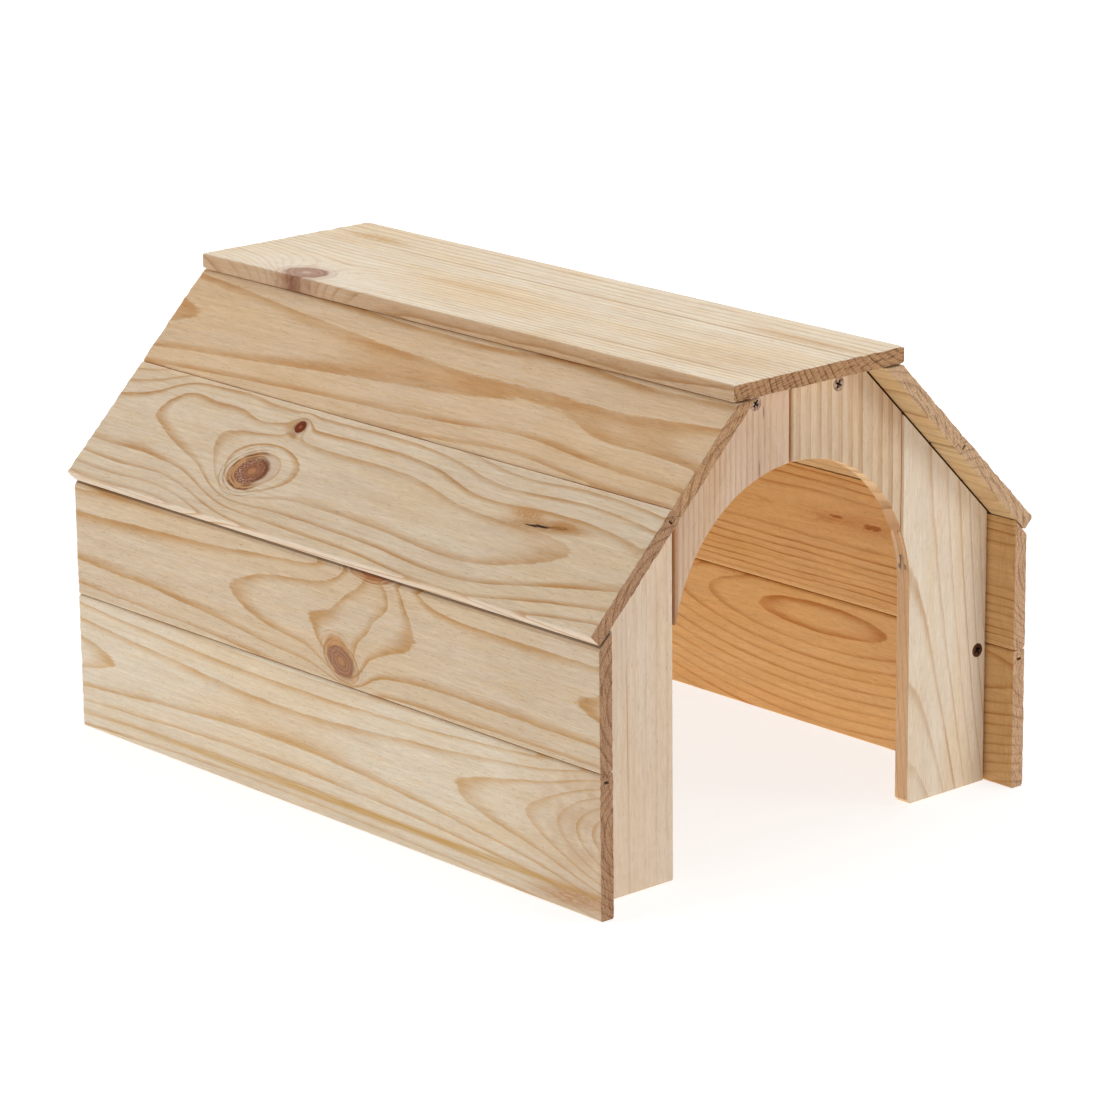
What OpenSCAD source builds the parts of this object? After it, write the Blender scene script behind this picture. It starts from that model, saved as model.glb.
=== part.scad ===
// Rabbit house in unfinished pine. Two side walls, two sloping roof panels and a flat top, all of
// tongue-and-groove boards, are tied by cross battens and closed by two upright gables. The front
// gable has an arched doorway, the back gable is plain, and the base is open.
// Frame: +X to the right, +Y to the back, +Z up, origin on the floor under the middle of the house.

/* [Shell] */
// Length of the side walls, front to back
wall_length = 380; // [320:1:460]
// Clear width between the side walls
inner_width = 252.4; // [236:0.2:290]
// Height of the side walls at their inner face
wall_height = 131.7; // [120:0.1:150]
// Angle of the sloping roof panels above the floor
roof_angle = 45; // [41:1:49]
// How far each end of a slope stands back from the ends of the walls
slope_setback = 0.5; // [0:0.1:6]
// How far a slope runs down past the inner top corner of its wall
slope_toe = 9.5; // [8:0.5:20]
// Width of the flat top board
top_width = 105.5; // [94:0.5:120]
// How far each end of the top board stands back from the ends of the walls
top_setback = 1.5; // [0:0.5:10]
// How far the top board reaches past the upper corner of each slope
top_overhang = 1.6; // [0.4:0.1:5]
// Gap where two panels meet on the slant
joint_gap = 0.5; // [0.05:0.05:0.8]

/* [Boards] */
// Thickness of every board
board_t = 8; // [7:0.5:11]
// Face width of the lower board of a side wall
wall_lower_w = 67.7; // [56:0.1:80]
// Face width of the lower board of a slope
slope_lower_w = 67.3; // [60:0.1:76]
// Thickness of a tongue
tongue_t = 2.4; // [1.8:0.1:3]
// Length of a tongue
tongue_l = 4; // [3:0.5:6]
// Play between a tongue and each cheek of its groove
tongue_play = 0.1; // [0.05:0.05:0.3]
// Empty space below the tip of a tongue
groove_space = 1; // [0.3:0.1:2]
// Gap between the shoulders of two boards at a seam
seam_gap = 0.3; // [0.1:0.1:0.8]
// Bevel on the arrises of a seam
seam_bevel = 0.8; // [0.3:0.1:1.5]
// Bevel on the free arrises of a board
arris = 0.8; // [0.3:0.1:1.5]

/* [Gables] */
// How far the gables stand back from the ends of the walls
gable_inset = 16; // [8:1:40]
// Face width of a full gable board
gable_board_w = 71; // [64:1:78]
// How far the middle seam of a gable lies to the left of the centre line
gable_seam_shift = 3.8; // [0:0.1:8]
// Gap between the left leg of a gable and the board beside it
gable_left_gap = 1.8; // [0.2:0.1:2.4]
// Gap between the two middle boards of a gable
gable_middle_gap = 1.2; // [0.2:0.1:2.4]
// Gap between the right leg of a gable and the board beside it
gable_right_gap = 0.5; // [0.2:0.1:2.4]
// Clearance between a gable and the side walls
gable_side_gap = 0.6; // [0.2:0.1:2]
// Clearance between a gable and the slopes
gable_slope_gap = 0.9; // [0.2:0.1:2]
// Clearance between a gable and the top board
gable_top_gap = 0.4; // [0.2:0.1:2]
// Height of the feet of a gable above the floor
gable_lift = 1; // [0.5:0.5:4]
// Radius on the upright outer arrises of a gable
leg_round = 3; // [1:0.5:5]

/* [Doorway] */
// Width of the doorway
arch_w = 147.6; // [120:0.2:160]
// Height of the straight sides of the doorway above the floor
arch_spring = 106; // [90:1:116]
// How far the middle of the doorway lies to the left of the centre line
arch_shift = 1.2; // [0:0.1:4]
// Bevel on the inner bottom corners of the doorway's legs
foot_bevel = 2; // [1:0.5:5]

/* [Battens] */
// Width of a batten, measured away from its gable
batten_w = 15; // [12:1:20]
// Depth of a batten, measured inwards from its panel
batten_t = 15; // [12:1:18]
// Height of the wall battens above the floor
batten_lift = 3; // [1:0.5:10]
// Clear space between the ends of two battens
batten_gap = 2; // [1:0.5:4]

/* [Screws] */
// Diameter of a screw
screw_d = 3.5; // [3:0.1:4]
// Diameter of a screw head
head_d = 6.6; // [6:0.1:8]
// Height of the straight rim of a screw head
head_rim = 0.4; // [0.2:0.1:0.8]
// Length of the arms of the cross recess, tip to tip
recess_l = 3.8; // [3:0.1:5]
// Width of the arms of the cross recess
recess_w = 1; // [0.7:0.1:1.4]
// Depth of the cross recess
recess_depth = 1.6; // [1:0.1:2]
// Play between a screw and its hole
screw_play = 0.08; // [0.02:0.02:0.2]
// How far a gable screw runs into its batten
gable_screw_bite = 12; // [8:0.5:13]
// How far a slope batten screw runs into the gable
slope_screw_bite = 5; // [3:0.5:6]
// Distance between the two screws under the top board
top_screw_spacing = 51.4; // [44:0.2:60]
// Distance of a slope batten screw from the end of its batten
slope_screw_inset = 12; // [8:0.5:14]

/* [Staples] */
// Width of the staple wire
wire_w = 1.25; // [0.9:0.05:1.6]
// Thickness of the staple wire
wire_t = 1; // [0.7:0.05:1.3]
// Outer width of a staple
staple_w = 10; // [8:0.5:11]
// How far the legs of a staple run into a board
staple_bite = 5; // [3:0.5:6]
// Play between the legs of a staple and the wood
staple_play = 0.05; // [0.02:0.01:0.1]
// Distance between the two staples in one wall board
wall_staple_spacing = 28; // [20:1:34]
// Distance between the two staples of a top batten
top_staple_spacing = 24; // [16:1:34]

/* [Hidden] */

// Sides and ends by name
LEFT = -1;
RIGHT = 1;
FRONT = -1;
BACK = 1;

// Colours of bare pine by panel, and of the fasteners
wall_pine = "#E6CDA8";
slope_pine = "#E2C699";
top_pine = "#E8CFA4";
gable_pine = "#EAD5B5";
batten_pine = "#D9AE74";
screw_steel = "#8C8378";
staple_steel = "#B9BCC0";

// Overshoot of a cutting tool past the face that it opens
cut = 1;
// Sides of round cuts, of the doorway's arch, and steps around a rounded arris
round_sides = 48;
arch_sides = 128;
arris_step = 15;

half_in = inner_width / 2;
top_corner_x = top_width / 2 - top_overhang;
roof_height = wall_height + (half_in - top_corner_x) * tan(roof_angle) + board_t / cos(roof_angle);

wall_seam = wall_lower_w;
slope_seam = slope_lower_w - slope_toe;
slope_top = (roof_height - joint_gap - wall_height) / sin(roof_angle);
gable_seams = [for (row = [-1:1]) row * gable_board_w - gable_seam_shift];
gable_half_gaps = [gable_left_gap, gable_middle_gap, gable_right_gap] / 2;

// Distances from the middle of the house to a gable's outer face and to its inner face, where battens start
gable_y = wall_length / 2 - gable_inset;
batten_y = gable_y - board_t;

// Ends of each batten, measured up its panel
wall_batten_ends = [batten_lift, wall_height - batten_gap];
slope_batten_ends = [
    batten_t / tan(roof_angle) + batten_gap,
    (roof_height - batten_t - batten_gap - wall_height) / sin(roof_angle)
];
top_batten_half = half_in - (roof_height - wall_height) / tan(roof_angle) - batten_gap;

// Gable screws hit the middle of the wall battens and of the top batten
side_screw = [half_in - batten_t / 2, (wall_batten_ends[0] + wall_batten_ends[1]) / 2];
top_screw = [top_screw_spacing / 2, roof_height - batten_t / 2];
gable_screw_places = [
    [-side_screw[0], side_screw[1]], [-top_screw[0], top_screw[1]],
    [top_screw[0], top_screw[1]], [side_screw[0], side_screw[1]]
];
slope_screw_places = [slope_batten_ends[0] + slope_screw_inset, slope_batten_ends[1] - slope_screw_inset];

// Staples sit in the middle of what each board shares with its batten, clear of the screws
wall_staple_places = [
    for (span = [[wall_batten_ends[0], wall_seam], [wall_seam, wall_batten_ends[1]]])
        for (step = [-1, 1]) (span[0] + span[1] + step * wall_staple_spacing) / 2
];
slope_staple_places = [for (place = slope_screw_places) (place + slope_seam) / 2];
top_staple_places = [for (step = [-1, 1]) step * top_staple_spacing / 2];

// Frames of the three kinds of panel: X runs up across the boards, Y along them and Z inwards,
// with the inner face of the boards at Z zero
module wall_frame() {
    translate([half_in, 0, 0]) rotate([0, -90, 0]) children();
}

module slope_frame() {
    translate([half_in, 0, wall_height]) rotate([0, 180 + roof_angle, 0]) children();
}

module top_frame() {
    translate([0, 0, roof_height]) rotate([0, 180, 0]) children();
}

// Turns a right-hand piece into the piece of the named side
module on_side(side) {
    if (side == LEFT) mirror([1, 0, 0]) children();
    else children();
}

// Turns a front piece into the piece of the named end
module on_end(end) {
    if (end == BACK) mirror([0, 1, 0]) children();
    else children();
}

// Edge of a board, listed from its inner face to its outer face. The body of the board lies
// on the side that into points to, and a negative depth makes a tongue
function seam_edge(at, into, depth, width) =
    let (inner_cheek = (width - board_t) / 2, outer_cheek = -(width + board_t) / 2)
    [
        [at + into * seam_bevel, 0], [at, -seam_bevel],
        [at, inner_cheek], [at + into * depth, inner_cheek],
        [at + into * depth, outer_cheek], [at, outer_cheek],
        [at, seam_bevel - board_t], [at + into * seam_bevel, -board_t]
    ];

function tongue_edge(at, into) = seam_edge(at, into, -tongue_l, tongue_t);

function groove_edge(at, into) = seam_edge(at, into, tongue_l + groove_space, tongue_t + 2 * tongue_play);

function free_edge(at, into) =
    [[at + into * arris, 0], [at, -arris], [at, arris - board_t], [at + into * arris, -board_t]];

function slant_edge(inner_at, outer_at) = [[inner_at, 0], [outer_at, -board_t]];

// Upright edge of a gable, rounded on its outer arris
function rounded_edge(at, into) = concat(
    [[at + into * arris, 0], [at, -arris]],
    [for (turn = [0:arris_step:90]) [
        at + into * leg_round * (1 - cos(turn)),
        leg_round * (1 - sin(turn)) - board_t
    ]]
);

function board_outline(lower, upper) = concat(lower, [for (i = [len(upper) - 1:-1:0]) upper[i]]);

// A board of the given length with the given outline
module board(length, lower, upper) {
    rotate([90, 0, 0]) linear_extrude(length, center = true) polygon(board_outline(lower, upper));
}

// A countersunk screw: its head lies at zero and its point at the given length.
// Play grows it into the tool that cuts its hole
module screw_body(length, play, above) {
    shank_r = screw_d / 2 + play;
    head_r = head_d / 2 + play;
    shoulder = head_rim + (head_d - screw_d) / 2;
    rotate_extrude($fn = round_sides) polygon([
        [0, -above], [head_r, -above], [head_r, head_rim], [shank_r, shoulder],
        [shank_r, length - screw_d + play], [0, length + play]
    ]);
}

module screw(length) {
    difference() {
        screw_body(length, 0, 0);
        for (turn = [0, 90]) rotate(turn) translate([-recess_l / 2, -recess_w / 2, -cut])
            cube([recess_l, recess_w, recess_depth + cut]);
    }
}

// Sets screws through the front gable into its battens
module at_gable_screws() {
    for (place = gable_screw_places)
        translate([place[0], -gable_y, place[1]]) rotate([-90, 0, 0]) children();
}

// Sets screws through the two front slope battens into the gable, from inside
module at_slope_screws() {
    for (side = [LEFT, RIGHT]) on_side(side) slope_frame() at_slope_screw_places() children();
}

module at_slope_screw_places() {
    for (place = slope_screw_places)
        translate([place, batten_w - batten_y, batten_t / 2]) rotate([90, 0, 0]) children();
}

module gable_screw_holes() {
    at_gable_screws() screw_body(board_t + gable_screw_bite, screw_play, cut);
}

// The two legs of a staple in a panel's frame, with room around them for the cut in the wood
module staple_legs(place, play) {
    for (step = [-1, 1])
        translate([
            place - wire_w / 2 - play,
            batten_w / 2 - batten_y + step * (staple_w - wire_t) / 2 - wire_t / 2 - play,
            -staple_bite - play
        ]) cube([wire_w + 2 * play, wire_t + 2 * play, staple_bite + batten_t + 2 * play]);
}

module staple(place) {
    union() {
        staple_legs(place, 0);
        translate([place - wire_w / 2, (batten_w - staple_w) / 2 - batten_y, batten_t])
            cube([wire_w, staple_w, wire_t]);
    }
}

module staple_slots(places) {
    for (end = [FRONT, BACK]) on_end(end) for (place = places) staple_legs(place, staple_play);
}

module staple_row(places) {
    color(staple_steel) for (end = [FRONT, BACK]) on_end(end) for (place = places) staple(place);
}

// A front batten in its panel's frame
module batten(ends) {
    translate([ends[0], -batten_y, 0]) cube([ends[1] - ends[0], batten_w, batten_t]);
}

// Side walls
module wall_lower_board(side) {
    color(wall_pine) on_side(side) wall_frame() difference() {
        board(wall_length, free_edge(0, 1), groove_edge(wall_seam - seam_gap / 2, -1));
        staple_slots(wall_staple_places);
    }
}

module wall_upper_board(side) {
    inner_top = wall_height - joint_gap / cos(roof_angle);
    color(wall_pine) on_side(side) wall_frame() difference() {
        board(
            wall_length,
            tongue_edge(wall_seam + seam_gap / 2, 1),
            slant_edge(inner_top, inner_top - board_t * tan(roof_angle))
        );
        staple_slots(wall_staple_places);
    }
}

module wall_batten(side, end) {
    color(batten_pine) on_end(end) difference() {
        on_side(side) wall_frame() difference() {
            batten(wall_batten_ends);
            staple_slots(wall_staple_places);
        }
        gable_screw_holes();
    }
}

module wall_staples(side) {
    on_side(side) wall_frame() staple_row(wall_staple_places);
}

// Sloping roof panels
module slope_lower_board(side) {
    color(slope_pine) on_side(side) slope_frame() difference() {
        board(
            wall_length - 2 * slope_setback,
            free_edge(-slope_toe, 1),
            groove_edge(slope_seam - seam_gap / 2, -1)
        );
        staple_slots(slope_staple_places);
    }
}

module slope_upper_board(side) {
    color(slope_pine) on_side(side) slope_frame() difference() {
        board(
            wall_length - 2 * slope_setback,
            tongue_edge(slope_seam + seam_gap / 2, 1),
            slant_edge(slope_top, slope_top - board_t / tan(roof_angle))
        );
        staple_slots(slope_staple_places);
    }
}

module slope_batten(side, end) {
    color(batten_pine) on_end(end) on_side(side) slope_frame() difference() {
        batten(slope_batten_ends);
        staple_slots(slope_staple_places);
        at_slope_screw_places() screw_body(batten_w + slope_screw_bite, screw_play, cut);
    }
}

module slope_staples(side) {
    on_side(side) slope_frame() staple_row(slope_staple_places);
}

// Flat top
module top_board() {
    color(top_pine) top_frame() difference() {
        board(
            wall_length - 2 * top_setback,
            free_edge(-top_width / 2, 1),
            free_edge(top_width / 2, -1)
        );
        staple_slots(top_staple_places);
    }
}

module top_batten(end) {
    color(batten_pine) on_end(end) difference() {
        top_frame() difference() {
            batten([-top_batten_half, top_batten_half]);
            staple_slots(top_staple_places);
        }
        gable_screw_holes();
    }
}

module top_staples() {
    top_frame() staple_row(top_staple_places);
}

// Shape of a gable seen from the front: it stands clear of the walls, the slopes and the top board
module gable_shape() {
    edge_x = half_in - gable_side_gap;
    top_z = roof_height - gable_top_gap;
    reach = half_in * sin(roof_angle) + wall_height * cos(roof_angle) - gable_slope_gap;
    shoulder_z = (reach - edge_x * sin(roof_angle)) / cos(roof_angle);
    shoulder_x = (reach - top_z * cos(roof_angle)) / sin(roof_angle);
    polygon([
        [-edge_x, gable_lift], [edge_x, gable_lift], [edge_x, shoulder_z],
        [shoulder_x, top_z], [-shoulder_x, top_z], [-edge_x, shoulder_z]
    ]);
}

// Opening of the doorway seen from the front, flared at the floor by the bevelled feet
module doorway_shape() {
    half = arch_w / 2;
    translate([-arch_shift, 0]) {
        translate([0, arch_spring]) circle(half, $fn = arch_sides);
        translate([-half, 0]) square([arch_w, arch_spring]);
        polygon([
            [-half - foot_bevel, 0], [half + foot_bevel, 0], [half + foot_bevel, gable_lift],
            [half, gable_lift + foot_bevel], [-half, gable_lift + foot_bevel],
            [-half - foot_bevel, gable_lift]
        ]);
    }
}

// One upright board of the front gable: its plan runs up and is trimmed to the gable's shape
module gable_board(left, right, with_doorway) {
    difference() {
        intersection() {
            translate([0, -batten_y, 0])
                linear_extrude(roof_height) polygon(board_outline(left, right));
            translate([0, cut - batten_y, 0]) rotate([90, 0, 0])
                linear_extrude(board_t + 2 * cut) difference() {
                    gable_shape();
                    if (with_doorway) doorway_shape();
                }
        }
        gable_screw_holes();
        at_slope_screws() screw_body(batten_w + slope_screw_bite, screw_play, cut);
    }
}

module left_leg(end) {
    color(gable_pine) on_end(end) gable_board(
        rounded_edge(gable_side_gap - half_in, 1),
        tongue_edge(gable_seams[0] - gable_half_gaps[0], -1),
        end == FRONT
    );
}

module left_centre_board(end) {
    color(gable_pine) on_end(end) gable_board(
        groove_edge(gable_seams[0] + gable_half_gaps[0], 1),
        tongue_edge(gable_seams[1] - gable_half_gaps[1], -1),
        end == FRONT
    );
}

module right_centre_board(end) {
    color(gable_pine) on_end(end) gable_board(
        groove_edge(gable_seams[1] + gable_half_gaps[1], 1),
        tongue_edge(gable_seams[2] - gable_half_gaps[2], -1),
        end == FRONT
    );
}

module right_leg(end) {
    color(gable_pine) on_end(end) gable_board(
        groove_edge(gable_seams[2] + gable_half_gaps[2], 1),
        rounded_edge(half_in - gable_side_gap, -1),
        end == FRONT
    );
}

// Screws
module gable_screws(end) {
    color(screw_steel) on_end(end) at_gable_screws() screw(board_t + gable_screw_bite);
}

module slope_batten_screws(end) {
    color(screw_steel) on_end(end) at_slope_screws() screw(batten_w + slope_screw_bite);
}

wall_lower_board(LEFT);  // left_wall_lower_board
wall_upper_board(LEFT);  // left_wall_upper_board
wall_lower_board(RIGHT);  // right_wall_lower_board
wall_upper_board(RIGHT);  // right_wall_upper_board
slope_lower_board(LEFT);  // left_slope_lower_board
slope_upper_board(LEFT);  // left_slope_upper_board
slope_lower_board(RIGHT);  // right_slope_lower_board
slope_upper_board(RIGHT);  // right_slope_upper_board
top_board();
left_leg(FRONT);  // front_left_leg
left_centre_board(FRONT);  // front_left_centre_board
right_centre_board(FRONT);  // front_right_centre_board
right_leg(FRONT);  // front_right_leg
left_leg(BACK);  // back_left_board
left_centre_board(BACK);  // back_left_centre_board
right_centre_board(BACK);  // back_right_centre_board
right_leg(BACK);  // back_right_board
wall_batten(LEFT, FRONT);  // front_left_wall_batten
wall_batten(RIGHT, FRONT);  // front_right_wall_batten
wall_batten(LEFT, BACK);  // back_left_wall_batten
wall_batten(RIGHT, BACK);  // back_right_wall_batten
slope_batten(LEFT, FRONT);  // front_left_slope_batten
slope_batten(RIGHT, FRONT);  // front_right_slope_batten
slope_batten(LEFT, BACK);  // back_left_slope_batten
slope_batten(RIGHT, BACK);  // back_right_slope_batten
top_batten(FRONT);  // front_top_batten
top_batten(BACK);  // back_top_batten
gable_screws(FRONT);  // front_gable_screws
gable_screws(BACK);  // back_gable_screws
slope_batten_screws(FRONT);  // front_slope_batten_screws
slope_batten_screws(BACK);  // back_slope_batten_screws
wall_staples(LEFT);  // left_wall_staples
wall_staples(RIGHT);  // right_wall_staples
slope_staples(LEFT);  // left_slope_staples
slope_staples(RIGHT);  // right_slope_staples
top_staples();
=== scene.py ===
"""Rabbit house in unfinished pine: the looks of its boards, battens, screws and staples.

Sizes and places are in millimetres unless a name says otherwise. A board has its own axes: along the grain,
across its face and into the wood. The pine is a solid pattern of growth rings, so faces and ends agree.
"""

import logging
import math
from dataclasses import dataclass
from enum import Enum
from typing import Iterator, Optional, Sequence, Union

import bmesh
import bpy
from mathutils import Matrix, Vector, noise


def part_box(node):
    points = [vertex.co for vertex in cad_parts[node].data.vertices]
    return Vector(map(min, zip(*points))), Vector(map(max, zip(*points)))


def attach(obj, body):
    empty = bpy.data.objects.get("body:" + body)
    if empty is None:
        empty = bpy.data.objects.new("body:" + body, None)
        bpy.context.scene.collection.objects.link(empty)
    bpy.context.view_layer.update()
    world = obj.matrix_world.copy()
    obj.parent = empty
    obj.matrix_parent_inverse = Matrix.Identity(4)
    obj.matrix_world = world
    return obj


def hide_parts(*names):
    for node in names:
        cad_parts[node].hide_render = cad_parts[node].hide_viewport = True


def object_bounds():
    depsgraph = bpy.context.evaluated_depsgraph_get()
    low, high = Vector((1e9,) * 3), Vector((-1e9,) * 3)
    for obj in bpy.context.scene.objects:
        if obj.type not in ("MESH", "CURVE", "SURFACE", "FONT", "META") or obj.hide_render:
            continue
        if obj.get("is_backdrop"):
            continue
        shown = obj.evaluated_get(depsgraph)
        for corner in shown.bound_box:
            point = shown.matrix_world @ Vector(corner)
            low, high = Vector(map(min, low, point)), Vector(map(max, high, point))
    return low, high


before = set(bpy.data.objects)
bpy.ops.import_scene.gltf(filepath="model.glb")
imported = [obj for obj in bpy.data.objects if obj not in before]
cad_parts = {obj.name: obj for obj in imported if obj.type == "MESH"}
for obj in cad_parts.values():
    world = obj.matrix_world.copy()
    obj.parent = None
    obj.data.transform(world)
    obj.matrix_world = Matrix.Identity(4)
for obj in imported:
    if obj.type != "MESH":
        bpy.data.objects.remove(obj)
CAD_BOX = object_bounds()
LOG = logging.getLogger("rabbit_house")
MM = 0.001
ROOT = "root"
# Sine of half a right angle, the slope of the roof.
HALF_RIGHT = math.sqrt(0.5)
# A reach without end.
FAR = 1e5
# Results before and after a step down.
FALL = (1.0, 0.0)
WHITE = (1.0, 1.0, 1.0, 1.0)
FLOAT = "NodeSocketFloat"
VECTOR = "NodeSocketVector"
COLOUR = "NodeSocketColor"
GEOMETRY = "NodeSocketGeometry"

Socket = bpy.types.NodeSocket
Triple = tuple[float, float, float]
Colour = tuple[float, float, float, float]
Place = tuple[float, float]
Value = Union[float, str, Sequence[float], Socket, "Wire"]
Values = dict[Union[str, int], Value]
Wires = dict[str, "Wire"]


def shade(red: int, green: int, blue: int) -> Colour:
    """Turns a colour as a screen shows it into the linear colour that a shader takes.

    Args:
        red: Red from 0 to 255.
        green: Green from 0 to 255.
        blue: Blue from 0 to 255.

    Returns:
        The linear colour with full alpha.
    """
    linear = []
    for part in (red, green, blue):
        share = part / 255
        linear.append(share / 12.92 if share <= 0.04045 else ((share + 0.055) / 1.055) ** 2.4)
    return (linear[0], linear[1], linear[2], 1.0)


class Wire:
    """A node's output, on which the next nodes are written as plain sums."""

    def __init__(self, sheet: "NodeSheet", socket: Socket) -> None:
        """Keeps the output and the sheet that it lies on."""
        self.sheet = sheet
        self.socket = socket

    def __add__(self, other: Value) -> "Wire":
        """Returns the sum."""
        return self.apply("ADD", other)

    def __sub__(self, other: Value) -> "Wire":
        """Returns this value less another."""
        return self.apply("SUBTRACT", other)

    def __rsub__(self, other: Value) -> "Wire":
        """Returns a plain value less this one."""
        return self.sheet.math("SUBTRACT", other, self)

    def __mul__(self, other: Value) -> "Wire":
        """Returns the product."""
        return self.apply("MULTIPLY", other)

    def __truediv__(self, other: Value) -> "Wire":
        """Returns the quotient."""
        return self.apply("DIVIDE", other)

    def __abs__(self) -> "Wire":
        """Returns the value without its sign."""
        return self.apply("ABSOLUTE")

    __radd__ = __add__
    __rmul__ = __mul__

    def apply(self, operation: str, *others: Value) -> "Wire":
        """Returns the result of an operation on this value and others."""
        return self.sheet.math(operation, self, *others)

    def parts(self) -> list["Wire"]:
        """Returns the three parts of a vector."""
        node = self.sheet.add("ShaderNodeSeparateXYZ", {0: self})
        return [Wire(self.sheet, socket) for socket in node.outputs]

    def turned(self, angle: Value, axis: str = "Z_AXIS") -> "Wire":
        """Returns a vector turned about an axis."""
        return self.sheet.wire("ShaderNodeVectorRotate", {"Vector": self, "Angle": angle}, rotation_type=axis)

    def fall(self) -> "Wire":
        """Returns the bell curve of a square: 1 at zero, and nearly nothing past 3."""
        return (self * -1.0).apply("EXPONENT")

    def hump(self, place: float, width: float) -> "Wire":
        """Returns a bell curve of the value around a place."""
        away = (self - place) / width
        return (away * away).fall()

    def step(self, start: Value, end: Value, low: float = 0.0, high: float = 1.0) -> "Wire":
        """Returns a soft step of the value between two places, from a low result to a high one."""
        values = {0: self, 1: start, 2: end, 3: low, 4: high}
        return self.sheet.wire("ShaderNodeMapRange", values, interpolation_type="SMOOTHSTEP")

    def mix(self, first: Value, second: Value) -> "Wire":
        """Returns two colours mixed by this share."""
        return self.sheet.wire("ShaderNodeMix", {0: self, 6: first, 7: second}, 2, data_type="RGBA")

    def cloud(self, grain: Triple, seed: Value = 0.0, detail: float = 2.0) -> "Wire":
        """Returns a noise from 0 to 1 at this place, of a given grain and shifted by a seed."""
        values = {"Vector": self / grain + seed, "Scale": 1.0, "Detail": detail}
        return self.sheet.wire("ShaderNodeTexNoise", values, noise_dimensions="3D")

    def wave(self, grain: Triple, seed: Value = 0.0, detail: float = 2.0) -> "Wire":
        """Returns the same noise as a cloud, around zero."""
        return self.cloud(grain, seed, detail) - 0.5


class NodeSheet:
    """Short calls for filling one node tree."""

    def __init__(self, tree: bpy.types.NodeTree) -> None:
        """Keeps the tree that the nodes go into."""
        self.tree = tree

    def feed(self, socket: Socket, value: Value) -> None:
        """Links an input to an output, or sets its plain value.

        Args:
            socket: The input.
            value: The output to link, or the plain value.
        """
        if isinstance(value, (Wire, Socket)):
            self.tree.links.new(value.socket if isinstance(value, Wire) else value, socket)
        elif socket.type == "VECTOR":
            socket.default_value = (value,) * 3 if isinstance(value, (int, float)) else tuple(value)[:3]
        else:
            socket.default_value = value

    def dress(self, node: bpy.types.Node, values: Values) -> None:
        """Links or sets several inputs of a node, by name or number."""
        for label, value in values.items():
            self.feed(node.inputs[label], value)

    def add(self, kind: str, values: Optional[Values] = None, **options: object) -> bpy.types.Node:
        """Adds a node.

        Args:
            kind: The node's type name.
            values: What its inputs take, by name or number.
            **options: Properties to set on it.

        Returns:
            The new node.
        """
        node = self.tree.nodes.new(kind)
        for name, option in options.items():
            setattr(node, name, option)
        self.dress(node, values or {})
        return node

    def wire(self, kind: str, values: Optional[Values] = None, output: Union[str, int] = 0,
             **options: object) -> Wire:
        """Adds a node and returns one of its outputs."""
        return Wire(self, self.add(kind, values, **options).outputs[output])

    def broad(self, value: Value) -> bool:
        """Tells whether a value is a vector or a colour.

        Args:
            value: A wire or a plain value.

        Returns:
            True if it has more than one part.
        """
        if isinstance(value, Wire):
            return value.socket.type in ("VECTOR", "RGBA")
        return isinstance(value, tuple)

    def math(self, operation: str, *values: Value) -> Wire:
        """Adds a Math node, or a Vector Math node if one of its values is broad.

        Args:
            operation: What the node does.
            *values: What its inputs take, in order.

        Returns:
            The node's result.
        """
        kind = "ShaderNodeVectorMath" if any(self.broad(value) for value in values) else "ShaderNodeMath"
        output = 1 if operation in ("DOT_PRODUCT", "LENGTH") else 0
        return self.wire(kind, dict(enumerate(values)), output, operation=operation)


class NodeGroup:
    """A node group that is built once and then shared."""

    name = ""
    kind = "ShaderNodeTree"
    takes: dict[str, str] = {}
    gives: dict[str, str] = {}

    def fill(self, given: Wires) -> Wires:
        """Adds the group's nodes from its inputs by name, and returns its outputs by name."""
        raise NotImplementedError

    def tree(self) -> bpy.types.NodeTree:
        """Finds the group's tree, or builds it at the first call.

        Returns:
            The tree.
        """
        found = bpy.data.node_groups.get(self.name)
        if found is not None:
            return found
        tree = bpy.data.node_groups.new(self.name, self.kind)
        for way, sockets in (("INPUT", self.takes), ("OUTPUT", self.gives)):
            for label, kind in sockets.items():
                tree.interface.new_socket(label, in_out=way, socket_type=kind)
        sheet = NodeSheet(tree)
        start = sheet.add("NodeGroupInput")
        given = {label: Wire(sheet, start.outputs[label]) for label in self.takes}
        sheet.add("NodeGroupOutput", self.fill(given))
        return tree

    def place(self, sheet: NodeSheet, values: Values, *records: object) -> Wires:
        """Places the group in a material.

        Args:
            sheet: The material's tree.
            values: What inputs take, by name.
            *records: Records whose fields go to the other inputs of the same name.

        Returns:
            The group's outputs by name.
        """
        fields = {label: label.lower().replace(" ", "_") for label in self.takes if label not in values}
        for record in records:
            found = {label: getattr(record, name) for label, name in fields.items() if hasattr(record, name)}
            values = {**values, **found}
        node = sheet.add("ShaderNodeGroup", values, node_tree=self.tree())
        return {label: Wire(sheet, node.outputs[label]) for label in self.gives}


class GrainSwell(NodeGroup):
    """A soft rise or dip of the ring count around one place of a board."""

    name = "grain_swell"
    takes = {"Position": VECTOR, "Place": VECTOR, "Reach": VECTOR, "Amount": FLOAT}
    gives = {"Swell": FLOAT}

    def fill(self, given: Wires) -> Wires:
        """Adds a bell curve over the board's face."""
        share = (given["Position"] - given["Place"]) / given["Reach"]
        return {"Swell": share.apply("DOT_PRODUCT", share).fall() * given["Amount"]}


class Mark(NodeGroup):
    """What knots and pitch pockets share: a turned ellipse on the face."""

    flat = (1.0, 1.0, 0.0)

    def share(self, given: Wires) -> Wire:
        """Returns where a point lies from the mark's place, in the mark's half sizes."""
        return (given["Position"] - given["Place"]).turned(given["Turn"]) / given["Size"]


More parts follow.
